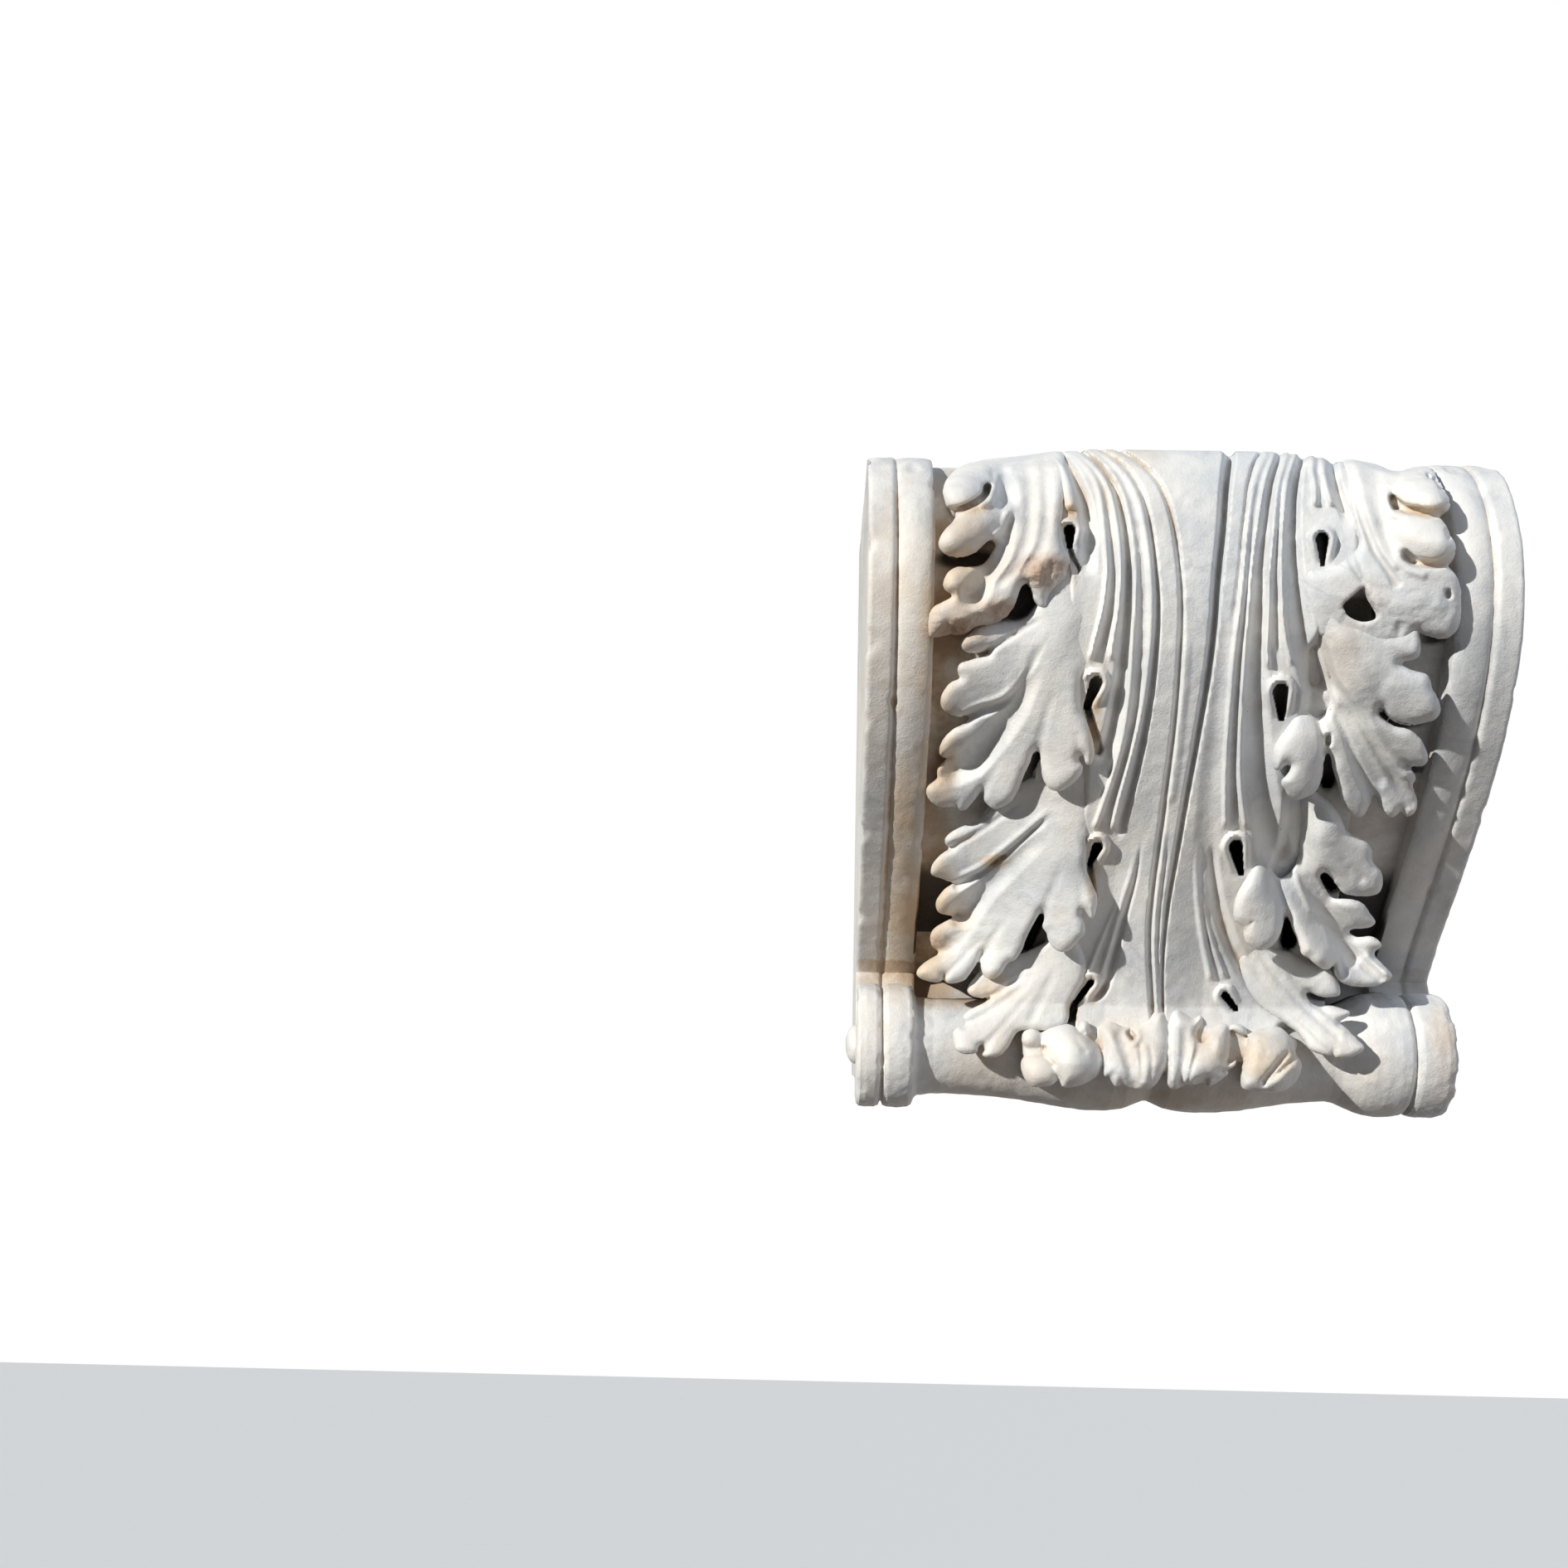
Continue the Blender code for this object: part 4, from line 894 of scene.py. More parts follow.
# Leaflets. Each is drawn as a closed outline, with openings through it. "forward" says how
# far it stands in front of the leaf's curve at places, and "fused" where its edge isn't
# rounded: (across, up, reach). A fold is a ridge, or a crease where its height is below
# nought: (half width at start and end, height at start and end, points). A bored line is
# (radius, depth, points).
leaflets = {
    "topLeaflet_left": {
        "outline": [
            (-69, 176), (-84, 174), (-100, 169), (-112, 165), (-122, 161.5), (-128, 157), (-133, 150),
            (-134.5, 143), (-132, 135.5), (-128, 131.5), (-129, 127), (-134, 121), (-137, 114),
            (-134.5, 108.5), (-128, 106), (-122, 107), (-116, 110), (-109.5, 116), (-106.5, 113),
            (-110, 106), (-114, 102), (-121, 100.8), (-127, 100.5), (-132, 97), (-134.5, 91), (-132.5, 87),
            (-129.5, 85), (-137, 80.5), (-140.5, 77), (-141.5, 71), (-141, 64), (-137, 63), (-130, 65.5),
            (-122, 65.3), (-116, 68.5), (-108, 70.5), (-101.5, 74), (-96, 79), (-94, 86), (-91.5, 91.5),
            (-89, 93), (-87, 90), (-85.5, 84), (-82, 80.5), (-79, 80), (-77, 86), (-72, 92), (-68, 98),
            (-66.5, 106), (-69.5, 112), (-70.5, 122), (-70, 135), (-68, 150), (-67, 165)],
        "forward": [
            (-72, 168, 1), (-70, 140, 5), (-72, 120, 7), (-90, 150, 0), (-95, 122, -1), (-100, 100, 2),
            (-120, 75, 6), (-138, 70, 6), (-125, 148, 8), (-110, 157, 4), (-128, 115, 8), (-110, 128, 4),
            (-126, 92, 5), (-114, 97, 1), (-75, 98, 6), (-88, 100, 4), (-84, 84, 3), (-68, 106, 7)],
        "folds": [
            (2.6, 2.6, -1, -2.2, [
                (-88, 173), (-87.5, 150), (-87.5, 135), (-89, 118), (-95, 103), (-104, 92)]),
            (2.4, 2.4, -1, -2, [(-79.5, 173), (-78, 150), (-78.5, 130), (-82, 112), (-90, 99)]),
            (4, 5, -2, -7, [(-104, 162), (-101, 150), (-101, 140)]),
            (3, 5.5, -3, -7, [(-99, 132), (-101, 118), (-105, 106), (-112, 96), (-118, 86)]),
            (2, 2, 2.5, 3, [(-105.5, 158), (-105.5, 149), (-107.5, 141), (-113, 136)]),
            (1.8, 1.8, 2.5, 2.5, [(-98, 138), (-101, 128), (-104, 121), (-111, 117)]),
            (6, 10, 3, 5, [(-108, 159), (-118, 153), (-124, 145)]),
            (5, 9, 2, 5, [(-106, 131), (-115, 124), (-127, 116)]),
            (4, 7, 1, 4, [(-113, 97), (-120, 94), (-127, 92)]),
            (5, 5, -3.5, -4, [(-144, 64), (-130, 65), (-117, 68), (-107, 71), (-98, 77)]),
            (6, 8, -3, -4, [(-83, 80), (-77, 88), (-70, 98)])
        ],
        "bored": [(2.2, 11, [(-132, 132.5), (-124, 134), (-117, 137.5), (-112, 142), (-110.5, 147)])],
    },
    "secondLeaflet_left": {
        "outline": [
            (-115, 70), (-119.5, 66.5), (-123.5, 62.5), (-123.7, 58), (-119, 55.5), (-113, 56), (-109, 57),
            (-110, 54.5), (-118, 52.2), (-124, 50), (-125.5, 46.5), (-124, 42.5), (-129, 40), (-133, 34.5),
            (-134, 29), (-130, 24.5), (-123, 22.8), (-118, 23.2), (-120, 19.5), (-127, 16.5), (-132, 11.5),
            (-134, 6), (-132.5, 2.5), (-128.5, 1.8), (-131, 0), (-134, -3), (-134.5, -6), (-134, -9),
            (-138, -11.5), (-140.5, -15.5), (-137, -21), (-130, -23.7), (-124, -23.3), (-121, -25.5),
            (-117, -24.5), (-112, -18.5), (-109, -14.5), (-107.5, -20), (-103, -24), (-98, -23.5),
            (-92, -19), (-88.5, -12), (-86, -5), (-84, 0), (-82, 5), (-79.5, 6), (-77.8, 2), (-77, -4),
            (-75.5, -8.5), (-73, -12), (-70, -14), (-66, -14.3), (-60, -10.8), (-56, -7), (-54.5, -2),
            (-57, 1.5), (-56.8, 4), (-54.5, 3.5), (-52.7, 0.3), (-51, -0.8), (-49.3, 3), (-48.8, 8),
            (-50.5, 14), (-54, 21), (-57.5, 27), (-58.5, 34), (-58, 44), (-55, 54), (-55, 75), (-60, 95),
            (-68, 108), (-78, 100), (-83, 85), (-90, 76), (-98, 73.3), (-107, 72)],
        "fused": [(-55, 52, 6), (-54, 60, 7), (-54, 70, 7), (-56, 80, 7), (-58, 90, 8), (-63, 100, 8)],
        "forward": [
            (-66, 98, -3), (-75, 85, -3), (-95, 76, -7), (-110, 70, -3), (-122, 60, 1), (-124, 48, 2),
            (-132, 32, 5), (-115, 38, 2), (-100, 45, 0), (-90, 62, -3), (-128, 8, 3), (-112, 15, 0),
            (-133, -6, 3), (-136, -16, 8), (-121, -22, 8), (-103, -20, 8), (-90, 0, 6), (-80, 40, 2.5),
            (-70, 60, 1), (-66, -10, 11), (-66, 10, 8.5), (-64, 30, 5), (-53, 2, 10.5), (-55, 20, 7.5),
            (-60, 42, 2.5), (-61, 58, -0.6), (-72, 30, 4.5), (-84, 20, 4.5), (-61, 75, -0.6),
            (-55, 65, -3.6), (-56, 85, -3.6), (-75, -2, 8)],
        "folds": [
            (1.2, 1.8, -0.8, -2.6, [(-80, 74), (-92, 67.5), (-100, 62.5), (-110, 56.5)]),
            (1.8, 2.6, -2, -6.5, [
                (-78, 68), (-84, 54), (-90, 42), (-97, 32), (-104, 28.2), (-112, 26), (-121, 21.5)]),
            (1.6, 1.8, 1.2, 2.2, [
                (-77, 72), (-82, 59), (-88, 47.5), (-96, 36.5), (-104, 31.6), (-112, 29), (-120, 25)]),
            (4.5, 6.5, -3, -9.5, [
                (-84, 50), (-89, 38), (-93, 28), (-99, 19), (-107, 9), (-115, 1), (-124, -3)]),
            (5, 6, 1, 3, [(-104, 25), (-114, 18), (-129, 8)]),
            (2, 2.6, -0.2, -1.4, [(-98, 5), (-104, -6), (-109.5, -16)]),
            (1.8, 2.6, -0.1, -1.6, [(-72, 40), (-77, 22), (-80, 5)]),
            (1.4, 1.8, -0.1, -1, [(-60, 18), (-58, 8), (-56, 3)])
        ],
        "bored": [],
    },
    "thirdLeaflet_left": {
        "outline": [
            (-104, -22), (-110, -30), (-120, -34), (-126, -37.5), (-128.5, -41), (-127, -44.3),
            (-123.5, -44.6), (-126, -45.8), (-131, -49), (-134.5, -53), (-135.5, -57), (-134.5, -60),
            (-128, -62), (-122, -64), (-127, -67), (-131, -72), (-132, -76), (-130, -80), (-124, -81.7),
            (-119, -81.3), (-127, -85.5), (-132, -89), (-135, -94), (-134, -98.5), (-130, -101),
            (-129.5, -103.5), (-135, -107), (-139.5, -110.5), (-141.5, -114), (-139, -117), (-131, -119),
            (-127, -118.3), (-125.7, -115.5), (-124.5, -118.5), (-121, -119.8), (-114, -118),
            (-110, -113.5), (-106, -107), (-103.5, -102), (-104.5, -106), (-104, -111), (-102, -115),
            (-98, -116.5), (-93, -114), (-90, -109), (-88, -107), (-85, -106), (-83, -103), (-81, -99.5),
            (-79, -93), (-75, -84.5), (-71.5, -79), (-70, -82), (-70.5, -87), (-68, -90), (-66.5, -94.5),
            (-63, -99), (-58, -100.9), (-53, -99), (-48.5, -94), (-46, -90.5), (-46.5, -85), (-48.5, -81),
            (-48.5, -78.5), (-46.5, -78.5), (-44, -81), (-42, -82.3), (-40.5, -77), (-40.5, -70),
            (-43, -65), (-46, -59.5), (-48.5, -53), (-49, -45), (-50, -36), (-48, -26), (-50, -12),
            (-56, 2), (-66, 4), (-72, -3), (-78, -5.5), (-86, -9.5), (-93, -13)],
        "fused": [(-49, -36, 5), (-48, -26, 6), (-49, -16, 7), (-53, -4, 8)],
        "forward": [
            (-62, 0, -5), (-80, -5, -6), (-98, -20, -6), (-112, -32, -1), (-125, -40, 2), (-133, -56, 5),
            (-115, -52, 2), (-95, -40, -1), (-75, -25, -4), (-128, -74, 3), (-132, -95, 4), (-120, -90, 1),
            (-138, -113, 8), (-120, -115, 8), (-100, -112, 9), (-88, -100, 8), (-100, -85, 4),
            (-85, -65, 1), (-65, -35, 0), (-58, -96, 13), (-58, -75, 9), (-55, -50, 4), (-43, -78, 12),
            (-47, -65, 6), (-53, -35, -0.6), (-48, -28, -3.5), (-52, -12, -3.5)],
        "folds": [
            (1.2, 1.6, -0.8, -2.4, [(-88, -21), (-100, -30), (-112, -38), (-125, -45)]),
            (1.4, 2.2, -2.5, -6, [(-70, -27), (-80, -36), (-93, -47.5), (-107, -58.5), (-120, -65)]),
            (1.4, 1.8, 1, 2, [(-70, -22.5), (-80, -32), (-93, -43.5), (-107, -54.5), (-117, -60)]),
            (4, 6, -2, -8, [(-72, -36), (-82, -45), (-92, -55), (-102, -64), (-110, -74), (-116, -81)]),
            (5, 6.5, 1, 3, [(-106, -64), (-116, -69), (-127, -75)]),
            (2.5, 3.5, -0.8, -2.4, [(-110, -84), (-117, -93), (-128, -102)]),
            (1.8, 2.4, -0.1, -1.6, [(-88, -78), (-96, -90), (-104, -104)]),
            (1.8, 2.6, -0.1, -1.8, [(-61, -50), (-66, -65), (-71, -80)]),
            (1.2, 1.4, -0.3, -1, [(-104, -93), (-114, -104), (-125, -116)]),
            (1.6, 1.8, -0.1, -0.8, [(-51, -60), (-50, -70), (-48.5, -79)])
        ],
        "bored": [
            (0.9, 6, [(-94, -49), (-97, -50.8), (-102, -54.5)]), (0.8, 4, [(-48.8, -80), (-47.6, -78.4)])
        ],
    },
    "lowLeaflet_left": {
        "look": {"edge": 4},
        "outline": [
            (-100, -108), (-108, -116), (-111.8, -123), (-109, -126.5), (-103, -127.7), (-99.5, -127),
            (-100.5, -130), (-108, -133.5), (-112, -136), (-113.5, -139), (-112, -143), (-117, -145),
            (-119.5, -148.5), (-119, -153.5), (-117.5, -158), (-113, -160), (-107, -159.7),
            (-104.7, -157.5), (-104.5, -155), (-102, -155), (-101.3, -158), (-103, -160.5), (-98, -162),
            (-92, -160), (-88, -155.5), (-85, -150.8), (-82, -147), (-78, -146), (-70, -146), (-58, -144),
            (-53, -140), (-52, -131), (-49, -124), (-45, -116), (-44, -106), (-47, -98), (-54, -90),
            (-63, -92), (-70, -96.5), (-80, -101.5), (-90, -105)],
        "forward": [
            (-60, -93, -5), (-85, -103, -5), (-100, -110, -3), (-110, -123, 2), (-111, -138, 3),
            (-117, -152, 5), (-100, -159, 5), (-85, -148, 3), (-75, -130, 1), (-60, -138, 0),
            (-52, -125, -1), (-47, -105, -3)],
        "folds": [
            (1.4, 1.8, -0.6, -2.4, [(-78, -114), (-88, -120), (-100, -128.5)]),
            (1.6, 2.4, -0.4, -1.8, [(-76, -119), (-90, -129), (-103, -138), (-113, -143.5)]),
            (1.4, 2, -0.2, -1.2, [(-70, -118), (-82, -133), (-94, -147), (-103, -156)]),
            (2, 2.6, -0.3, -1, [(-60, -108), (-66, -122), (-74, -138)]),
            (3, 5, 0.3, 0.8, [(-64, -106), (-78, -126), (-92, -142), (-110, -153)])
        ],
        "bored": [(1, 8, [(-100.3, -127.8), (-98.8, -128)]), (1.2, 7, [(-104.2, -156.6), (-103, -157.6)])],
    },
    "topLeaflet_right": {
        "look": {"turn": 0.1},
        "outline": [
            (86, 176), (95, 172), (104, 166), (110, 161.5), (116, 161), (122, 163.5), (131, 164),
            (134.5, 157), (137.5, 149), (139.5, 142), (138, 137), (133, 133), (136, 128), (138, 122),
            (140.5, 116), (139, 109), (136, 105), (139, 101), (142, 94), (143, 82), (142, 73), (138, 68),
            (134, 66.5), (125, 68.5), (118.5, 70.5), (114, 66), (102, 62), (88, 62), (74, 66), (66, 70),
            (60.5, 80), (59.5, 92), (61, 101), (66, 101.5), (73, 103), (80, 107), (86, 112), (89, 118),
            (88, 126), (86.5, 134), (86, 142), (85.5, 152), (85.5, 165)],
        "fused": [(70, 68, 8), (80, 63, 9), (90, 61, 9), (102, 61, 9), (112, 65, 6)],
        "openings": [
            [
                (90, 93), (85, 88.5), (80, 84), (80, 81), (84, 77), (90, 74.5), (95, 75), (98.5, 78),
                (96, 84), (92, 92)]
        ],
        "forward": [
            (86, 168, 2), (87, 140, 4), (89, 122, 4), (95, 150, 0), (100, 120, 0), (95, 100, 2),
            (125, 155, 3), (135, 148, 1), (112, 150, 2), (128, 122, 3), (112, 122, 2), (137, 116, 1),
            (128, 98, 0), (140, 92, -2), (125, 80, 1), (140, 72, -2), (105, 80, 2), (85, 97, 2),
            (72, 100, 3), (72, 85, 1), (90, 68, -1), (112, 68, 0), (68, 75, -1)],
        "folds": [
            (1.8, 2, -3, -3.6, [
                (88.5, 174), (88.5, 150), (90, 138), (93, 125), (97, 113), (103, 103), (108, 95)]),
            (2.4, 2.4, 1.2, 1.6, [(92.5, 172), (92.5, 150), (94, 138), (97, 126), (101, 114), (107, 105)]),
            (1.1, 1.1, -1.4, -1.8, [(80.5, 114), (85, 104), (90, 96)]),
            (1.1, 1.1, -1.2, -1.6, [(85, 114), (89, 103), (92, 95)]),
            (3, 3, -1, -1.5, [(101, 165), (101, 145), (103, 128)]),
            (7, 9, 3, 6, [(112, 155), (122, 151), (131, 146)]),
            (6, 8, 2.5, 5, [(108, 129), (118, 123), (132, 117)]),
            (2, 2, 2, 2, [(106, 150), (105, 142), (108, 134), (116, 131)]),
            (2, 2, 2, 2, [(110, 118), (109, 110), (114, 103), (122, 100)]),
            (2, 2, -1.6, -1.6, [(112, 75), (110, 70)])
        ],
        "bored": [
            (3.2, 8, [(109.5, 141), (114, 137.5), (122, 136), (130, 135), (137, 137.5), (143, 141)]),
            (2.2, 12, [(108.5, 144), (109.5, 138)]),
            (2.8, 8, [(114, 110), (118, 107.5), (124, 106.5), (131, 106.3), (137, 109), (142, 112)]),
            (2, 12, [(113.5, 112), (118, 107.5)]), (1.5, 12, [(135.3, 91), (135.6, 89)]),
            (1.2, 7, [(130, 158.5), (130, 157)]), (1.4, 6, [(133, 156), (136, 150)]),
            (1.3, 5, [(136, 125), (137, 121)])
        ],
    },
    "secondLeaflet_right": {
        "look": {"turn": 0.1},
        "outline": [
            (66, 98), (62, 91), (62, 80), (65, 69), (68, 59), (73, 49), (75, 41), (76, 33), (74, 27),
            (69.5, 25.5), (65, 28), (58.5, 28), (54, 19.5), (50.5, 13), (48.5, 7), (49, 2), (51, -1.5),
            (53.5, -1.7), (55.5, 0.5), (57.5, 1.6), (59.3, 0), (57.5, -4), (54.8, -7), (56, -9.7),
            (58, -12), (61, -15), (66, -16.7), (72, -14.3), (75.3, -11), (77, -4), (76.6, 3), (78, 8),
            (80.5, 6), (83, -1), (86, -8), (88.5, -15), (91, -18.7), (94, -22), (99, -25.2), (102.5, -24),
            (105, -17), (106, -13), (109, -15), (112, -20), (115, -24), (119, -25.3), (123, -21.5),
            (126, -24.7), (130, -22.5), (130.8, -17.5), (128.5, -12), (126.8, -8), (127.7, -4.5),
            (125.5, -1), (121, 2), (126, 1.2), (131, 1.3), (133.3, 4.5), (132, 9), (129, 13.7), (125, 17.2),
            (120, 20), (112, 21.8), (107, 25), (103.3, 28), (104.5, 30), (108, 27), (113, 24), (118, 22.6),
            (124, 22.5), (131, 24.3), (134.5, 26), (136.3, 30), (134, 36), (130, 41.5), (129, 45),
            (126, 48.5), (118, 50.5), (112, 53.5), (116, 55), (121, 56.7), (122.3, 60), (121.5, 66),
            (119, 72), (104, 72), (90, 71), (80, 73), (74, 82), (70, 94)],
        "fused": [
            (58, 29, 5), (66, 28, 4), (62, 84, 6), (68, 94, 8), (75, 80, 8), (84, 72, 8), (95, 71, 8),
            (106, 72, 8), (115, 72, 8)],
        "forward": [
            (65, 96, -4), (64, 82, -6), (67, 69, -8), (70, 58, -9), (74, 49, -6), (77, 41, -6),
            (79, 33, -5), (72, 24, -4), (59, 29, -4), (60, 24, 2), (80, 33, -3), (88, 25, -3), (80, 84, -3),
            (100, 76, -3), (115, 70, -2), (72, 76, 1), (78, 62, 3), (86, 49, 3), (95, 38, 3), (120, 60, 2),
            (133, 32, 6), (120, 35, 5), (105, 42, 3), (85, 62, 2), (131, 6, 6), (115, 12, 4), (103, 22, 3),
            (126, -5, 4), (128, -20, 5), (118, -22, 6), (108, -8, 4), (98, -22, 8), (90, 0, 6), (84, 8, 4),
            (66, -14, 12), (66, 5, 11), (57, 20, 5), (64, 21, 5), (70, 20, 2), (52, 0, 11), (52, 10, 8),
            (84, 20, 0)],
        "folds": [
            (2.2, 3, -2, -5, [
                (72, 50), (76, 44), (81, 38.5), (87, 31), (95, 22), (103, 11), (112, 0), (121, -10),
                (128, -17)]),
            (1.4, 2.4, 1, 2.2, [
                (64, 98), (65, 90), (66.5, 80), (69.5, 70), (75, 57), (81, 44), (91, 33), (100, 22),
                (110, 9), (121, -3)]),
            (2, 3.2, -2, -6, [(76, 36), (84, 22), (92, 8), (99, -4), (107, -16)]),
            (1.2, 2.2, -2, -5, [(69, 29), (71, 24), (74, 16), (76.5, 8)]),
            (4, 4.5, -2, -3, [(79, 34), (84, 27), (91, 17), (99, 5), (106, -6)]),
            (3, 3, -0.2, -1.6, [(84, 68), (96, 50), (104, 36), (105, 30)]),
            (3, 3.4, -0.2, -1.6, [(92, 68), (104, 60), (113, 54)]),
            (7, 9, 1, 3, [(104, 46), (118, 38), (127, 32)]),
            (1.6, 2, -0.8, -2.2, [(100, 19), (110, 10), (122, 1)])
        ],
        "bored": [
            (1.9, 12, [(77.3, 15.5), (77.8, 12.5)]),
            (1.4, 10, [(103.5, 29.5), (107, 26), (113, 23.2), (121, 21.6)])
        ],
    },
    "thirdLeaflet_right": {
        "look": {"turn": 0.12},
        "outline": [
            (68, -10), (71, -10.5), (76, -13), (85, -19), (91, -27), (94, -32), (97, -34), (101, -36),
            (107, -38.5), (110, -43), (110.5, -47), (113, -50.5), (117, -54), (118.8, -60), (117.5, -65),
            (112, -67), (105, -67), (98, -65.5), (92, -59.5), (87, -55.3), (84.3, -55), (83.3, -57.5),
            (86, -62), (89.5, -66.5), (93, -68.5), (104, -69), (110, -71.5), (114, -76), (117.7, -81),
            (115, -83.7), (108, -84.9), (104, -86.2), (106, -88.5), (110, -89.6), (116, -89), (120, -90.5),
            (123.2, -94), (120, -97), (120.5, -100), (125, -104), (130, -108), (131.7, -111), (129, -114),
            (122, -116.7), (114, -117.2), (107, -116.3), (102, -113.5), (99, -109), (97.8, -105),
            (94, -107.7), (88, -105.2), (84, -102), (79, -99.7), (76.5, -94.5), (74.5, -90), (72.5, -86.5),
            (69.5, -81.3), (66.7, -78), (65.8, -84), (64.5, -90.5), (61, -95.2), (55, -97.7), (49, -95.2),
            (45, -91), (44.3, -86), (41, -83.7), (38, -81), (36.8, -75), (38, -67), (41, -60), (44.5, -54),
            (48, -50.5), (52, -51), (56, -54), (60, -58), (65, -56.5), (69, -50), (69.5, -40), (68, -30),
            (67, -20)],
        "fused": [
            (49, -51, 5), (57, -56, 5), (64, -57, 4), (69.5, -50, 4), (70, -40, 5), (69, -30, 5),
            (68, -20, 5), (71, -11, 4)],
        "forward": [
            (69, -12, -7), (76, -15, -3), (69, -20, -8), (70, -30, -9), (71, -41, -8), (58, -58, -6),
            (49, -52, -4), (64, -58, -8), (71, -52, -7), (74, -62, -5), (88, -75, -4), (98, -86, -3),
            (78, -34, 3), (82, -50, 3), (88, -32, 5), (98, -44, 6), (107, -46, 6), (115, -60, 7),
            (90, -60, 4), (95, -72, 2), (112, -77, 5), (105, -80, 3), (120, -93, 0), (109, -91, -1),
            (130, -110, 1), (118, -105, -2), (111, -112, 1), (105, -97, -4), (94, -103, 10), (84, -93, 8),
            (77, -82, 4), (55, -94, 13), (52, -78, 11), (47, -62, 6), (40, -76, 11), (62, -82, 10),
            (50, -60, 6)],
        "folds": [
            (4.5, 5, -3, -6, [(66, -26), (70, -42), (79, -60), (89, -74), (100, -88), (108, -100)]),
            (2.5, 3, -3, -5, [(67, -16), (69.5, -30), (73, -44), (78, -57), (84, -66)]),
            (1.6, 2, 1, 1.6, [(71, -18), (73.5, -34), (77, -47), (81, -54)]),
            (1, 1.4, 0.4, 1.6, [(64, -44), (68, -54), (74, -65), (80, -75)]),
            (2, 2.4, -2, -4, [(84, -77), (95, -87), (105, -96), (115, -104.5), (125, -112)]),
            (1.5, 2, 1.5, 2.2, [(80, -75), (94, -83), (106, -93), (117, -102), (127, -109)]),
            (3, 6.5, 0.5, 3, [(72, -74), (80, -86), (90, -98)]),
            (2, 3.4, -2, -5.5, [(54, -52), (60, -62), (65, -72), (67.5, -80)]),
            (1, 1.2, 1, 1.6, [(57, -54), (62, -62), (67, -71), (72, -80)]),
            (1.4, 2, -1, -2.2, [(92, -84), (99, -95), (104, -110)]),
            (1.5, 2, -0.4, -1.4, [(82, -38), (94, -48), (106, -58)])
        ],
        "bored": [(1.2, 6, [(94.5, -32), (97.5, -34)]), (0.8, 3, [(46.5, -84.6), (48.5, -82.5)])],
    },
    "lowLeaflet_right": {
        "look": {"edge": 4, "turn": 0.06},
        "outline": [
            (54, -92), (61, -96.5), (72, -98.5), (84, -104.5), (95, -107), (100, -112), (103.2, -118.5),
            (102.5, -122.6), (93, -123.2), (88, -121.3), (84.3, -120.5), (84, -123), (88, -127.3),
            (93, -129), (98, -128.2), (104, -129.2), (110, -131), (109, -134.3), (106, -136), (103.5, -138),
            (107, -140.7), (112, -146), (116.7, -151), (115, -154.7), (108, -158), (101, -158.2),
            (99.3, -156), (98.6, -153.8), (97, -157), (92, -156.2), (86, -153.7), (83, -149), (79, -144),
            (71, -137.5), (62, -131.5), (54, -125), (49, -118), (45, -110), (43, -100), (47, -92)],
        "forward": [
            (50, -94, -7), (46, -104, -6), (70, -98, -5), (88, -107, -1), (101, -120, 3), (90, -116, 1),
            (108, -131, 3), (95, -133, 1), (113, -151, 3), (103, -155, 3), (90, -150, 2), (75, -135, 0),
            (60, -126, -2), (52, -117, -4), (80, -120, 0), (65, -108, -2)],
        "folds": [
            (1.4, 2.6, 0.5, 0.7, [(52, -102), (62, -114), (74, -126), (88, -138), (98, -146)]),
            (1.4, 2.6, 0.5, 0.7, [(56, -98), (68, -110), (82, -123), (94, -134), (104, -143)]),
            (1, 1.6, -0.8, -1, [(50, -106), (60, -118), (73, -130), (86, -142), (96, -152)]),
            (1, 1.6, -0.8, -1, [(54, -100), (65, -112), (78, -124.5), (92, -137), (102, -146)]),
            (1.2, 1.6, -0.6, -1.2, [(60, -98), (74, -110), (86, -121)]),
            (1.2, 1.8, -0.4, -1.4, [(72, -112), (86, -125), (103, -138)])
        ],
        "bored": [],
    },
}

leafletLook = {
    "step": 0.80,        # spacing of the drawing grid, in millimetres
    "voxel": 0.00085,
    "softening": 2,      # rounds of smoothing after the remesh
    "edge": 5.5,         # radius of a leaflet's rounded edge, in millimetres
    "thickness": 9.0,
    "thinEdge": 0.5,     # thickness left at the very edge
    "crown": 1.8,        # how far the middle of a lobe swells
    "crownReach": 4.0,
    "undercut": 5.5,     # how far the stone behind is set in from the edge
    "turn": 0.0,         # how much the face turns about the leaf's length
    "turnFrom": 60,      # place across that the turn is measured from
    "openEdge": 2.0,     # radius of the rounded edge round an opening
    "foldReach": 1.6,    # width of a fold's foot, for each half width
    "foldShape": 1.5,    # higher is narrower at the top
    "foldStart": (-0.02, 0.18),      # shares of its length between which a fold sets in
    "boredEdge": (-0.4, 1.0),        # how a bored line's wall falls, in millimetres from its edge
    "sunk": 0.6,         # share of the thickness by which the stone behind is set back
    "lumps": [(0.012, 0, 0.0004), (0.004, 1, 0.00016)],          # seeds are added to the piece's own
    "roughLumps": [(0.006, 2, 0.0012), (0.0024, 3, 0.0006)],
    "triangles": 76000,
    "tipTriangles": 110000,
}


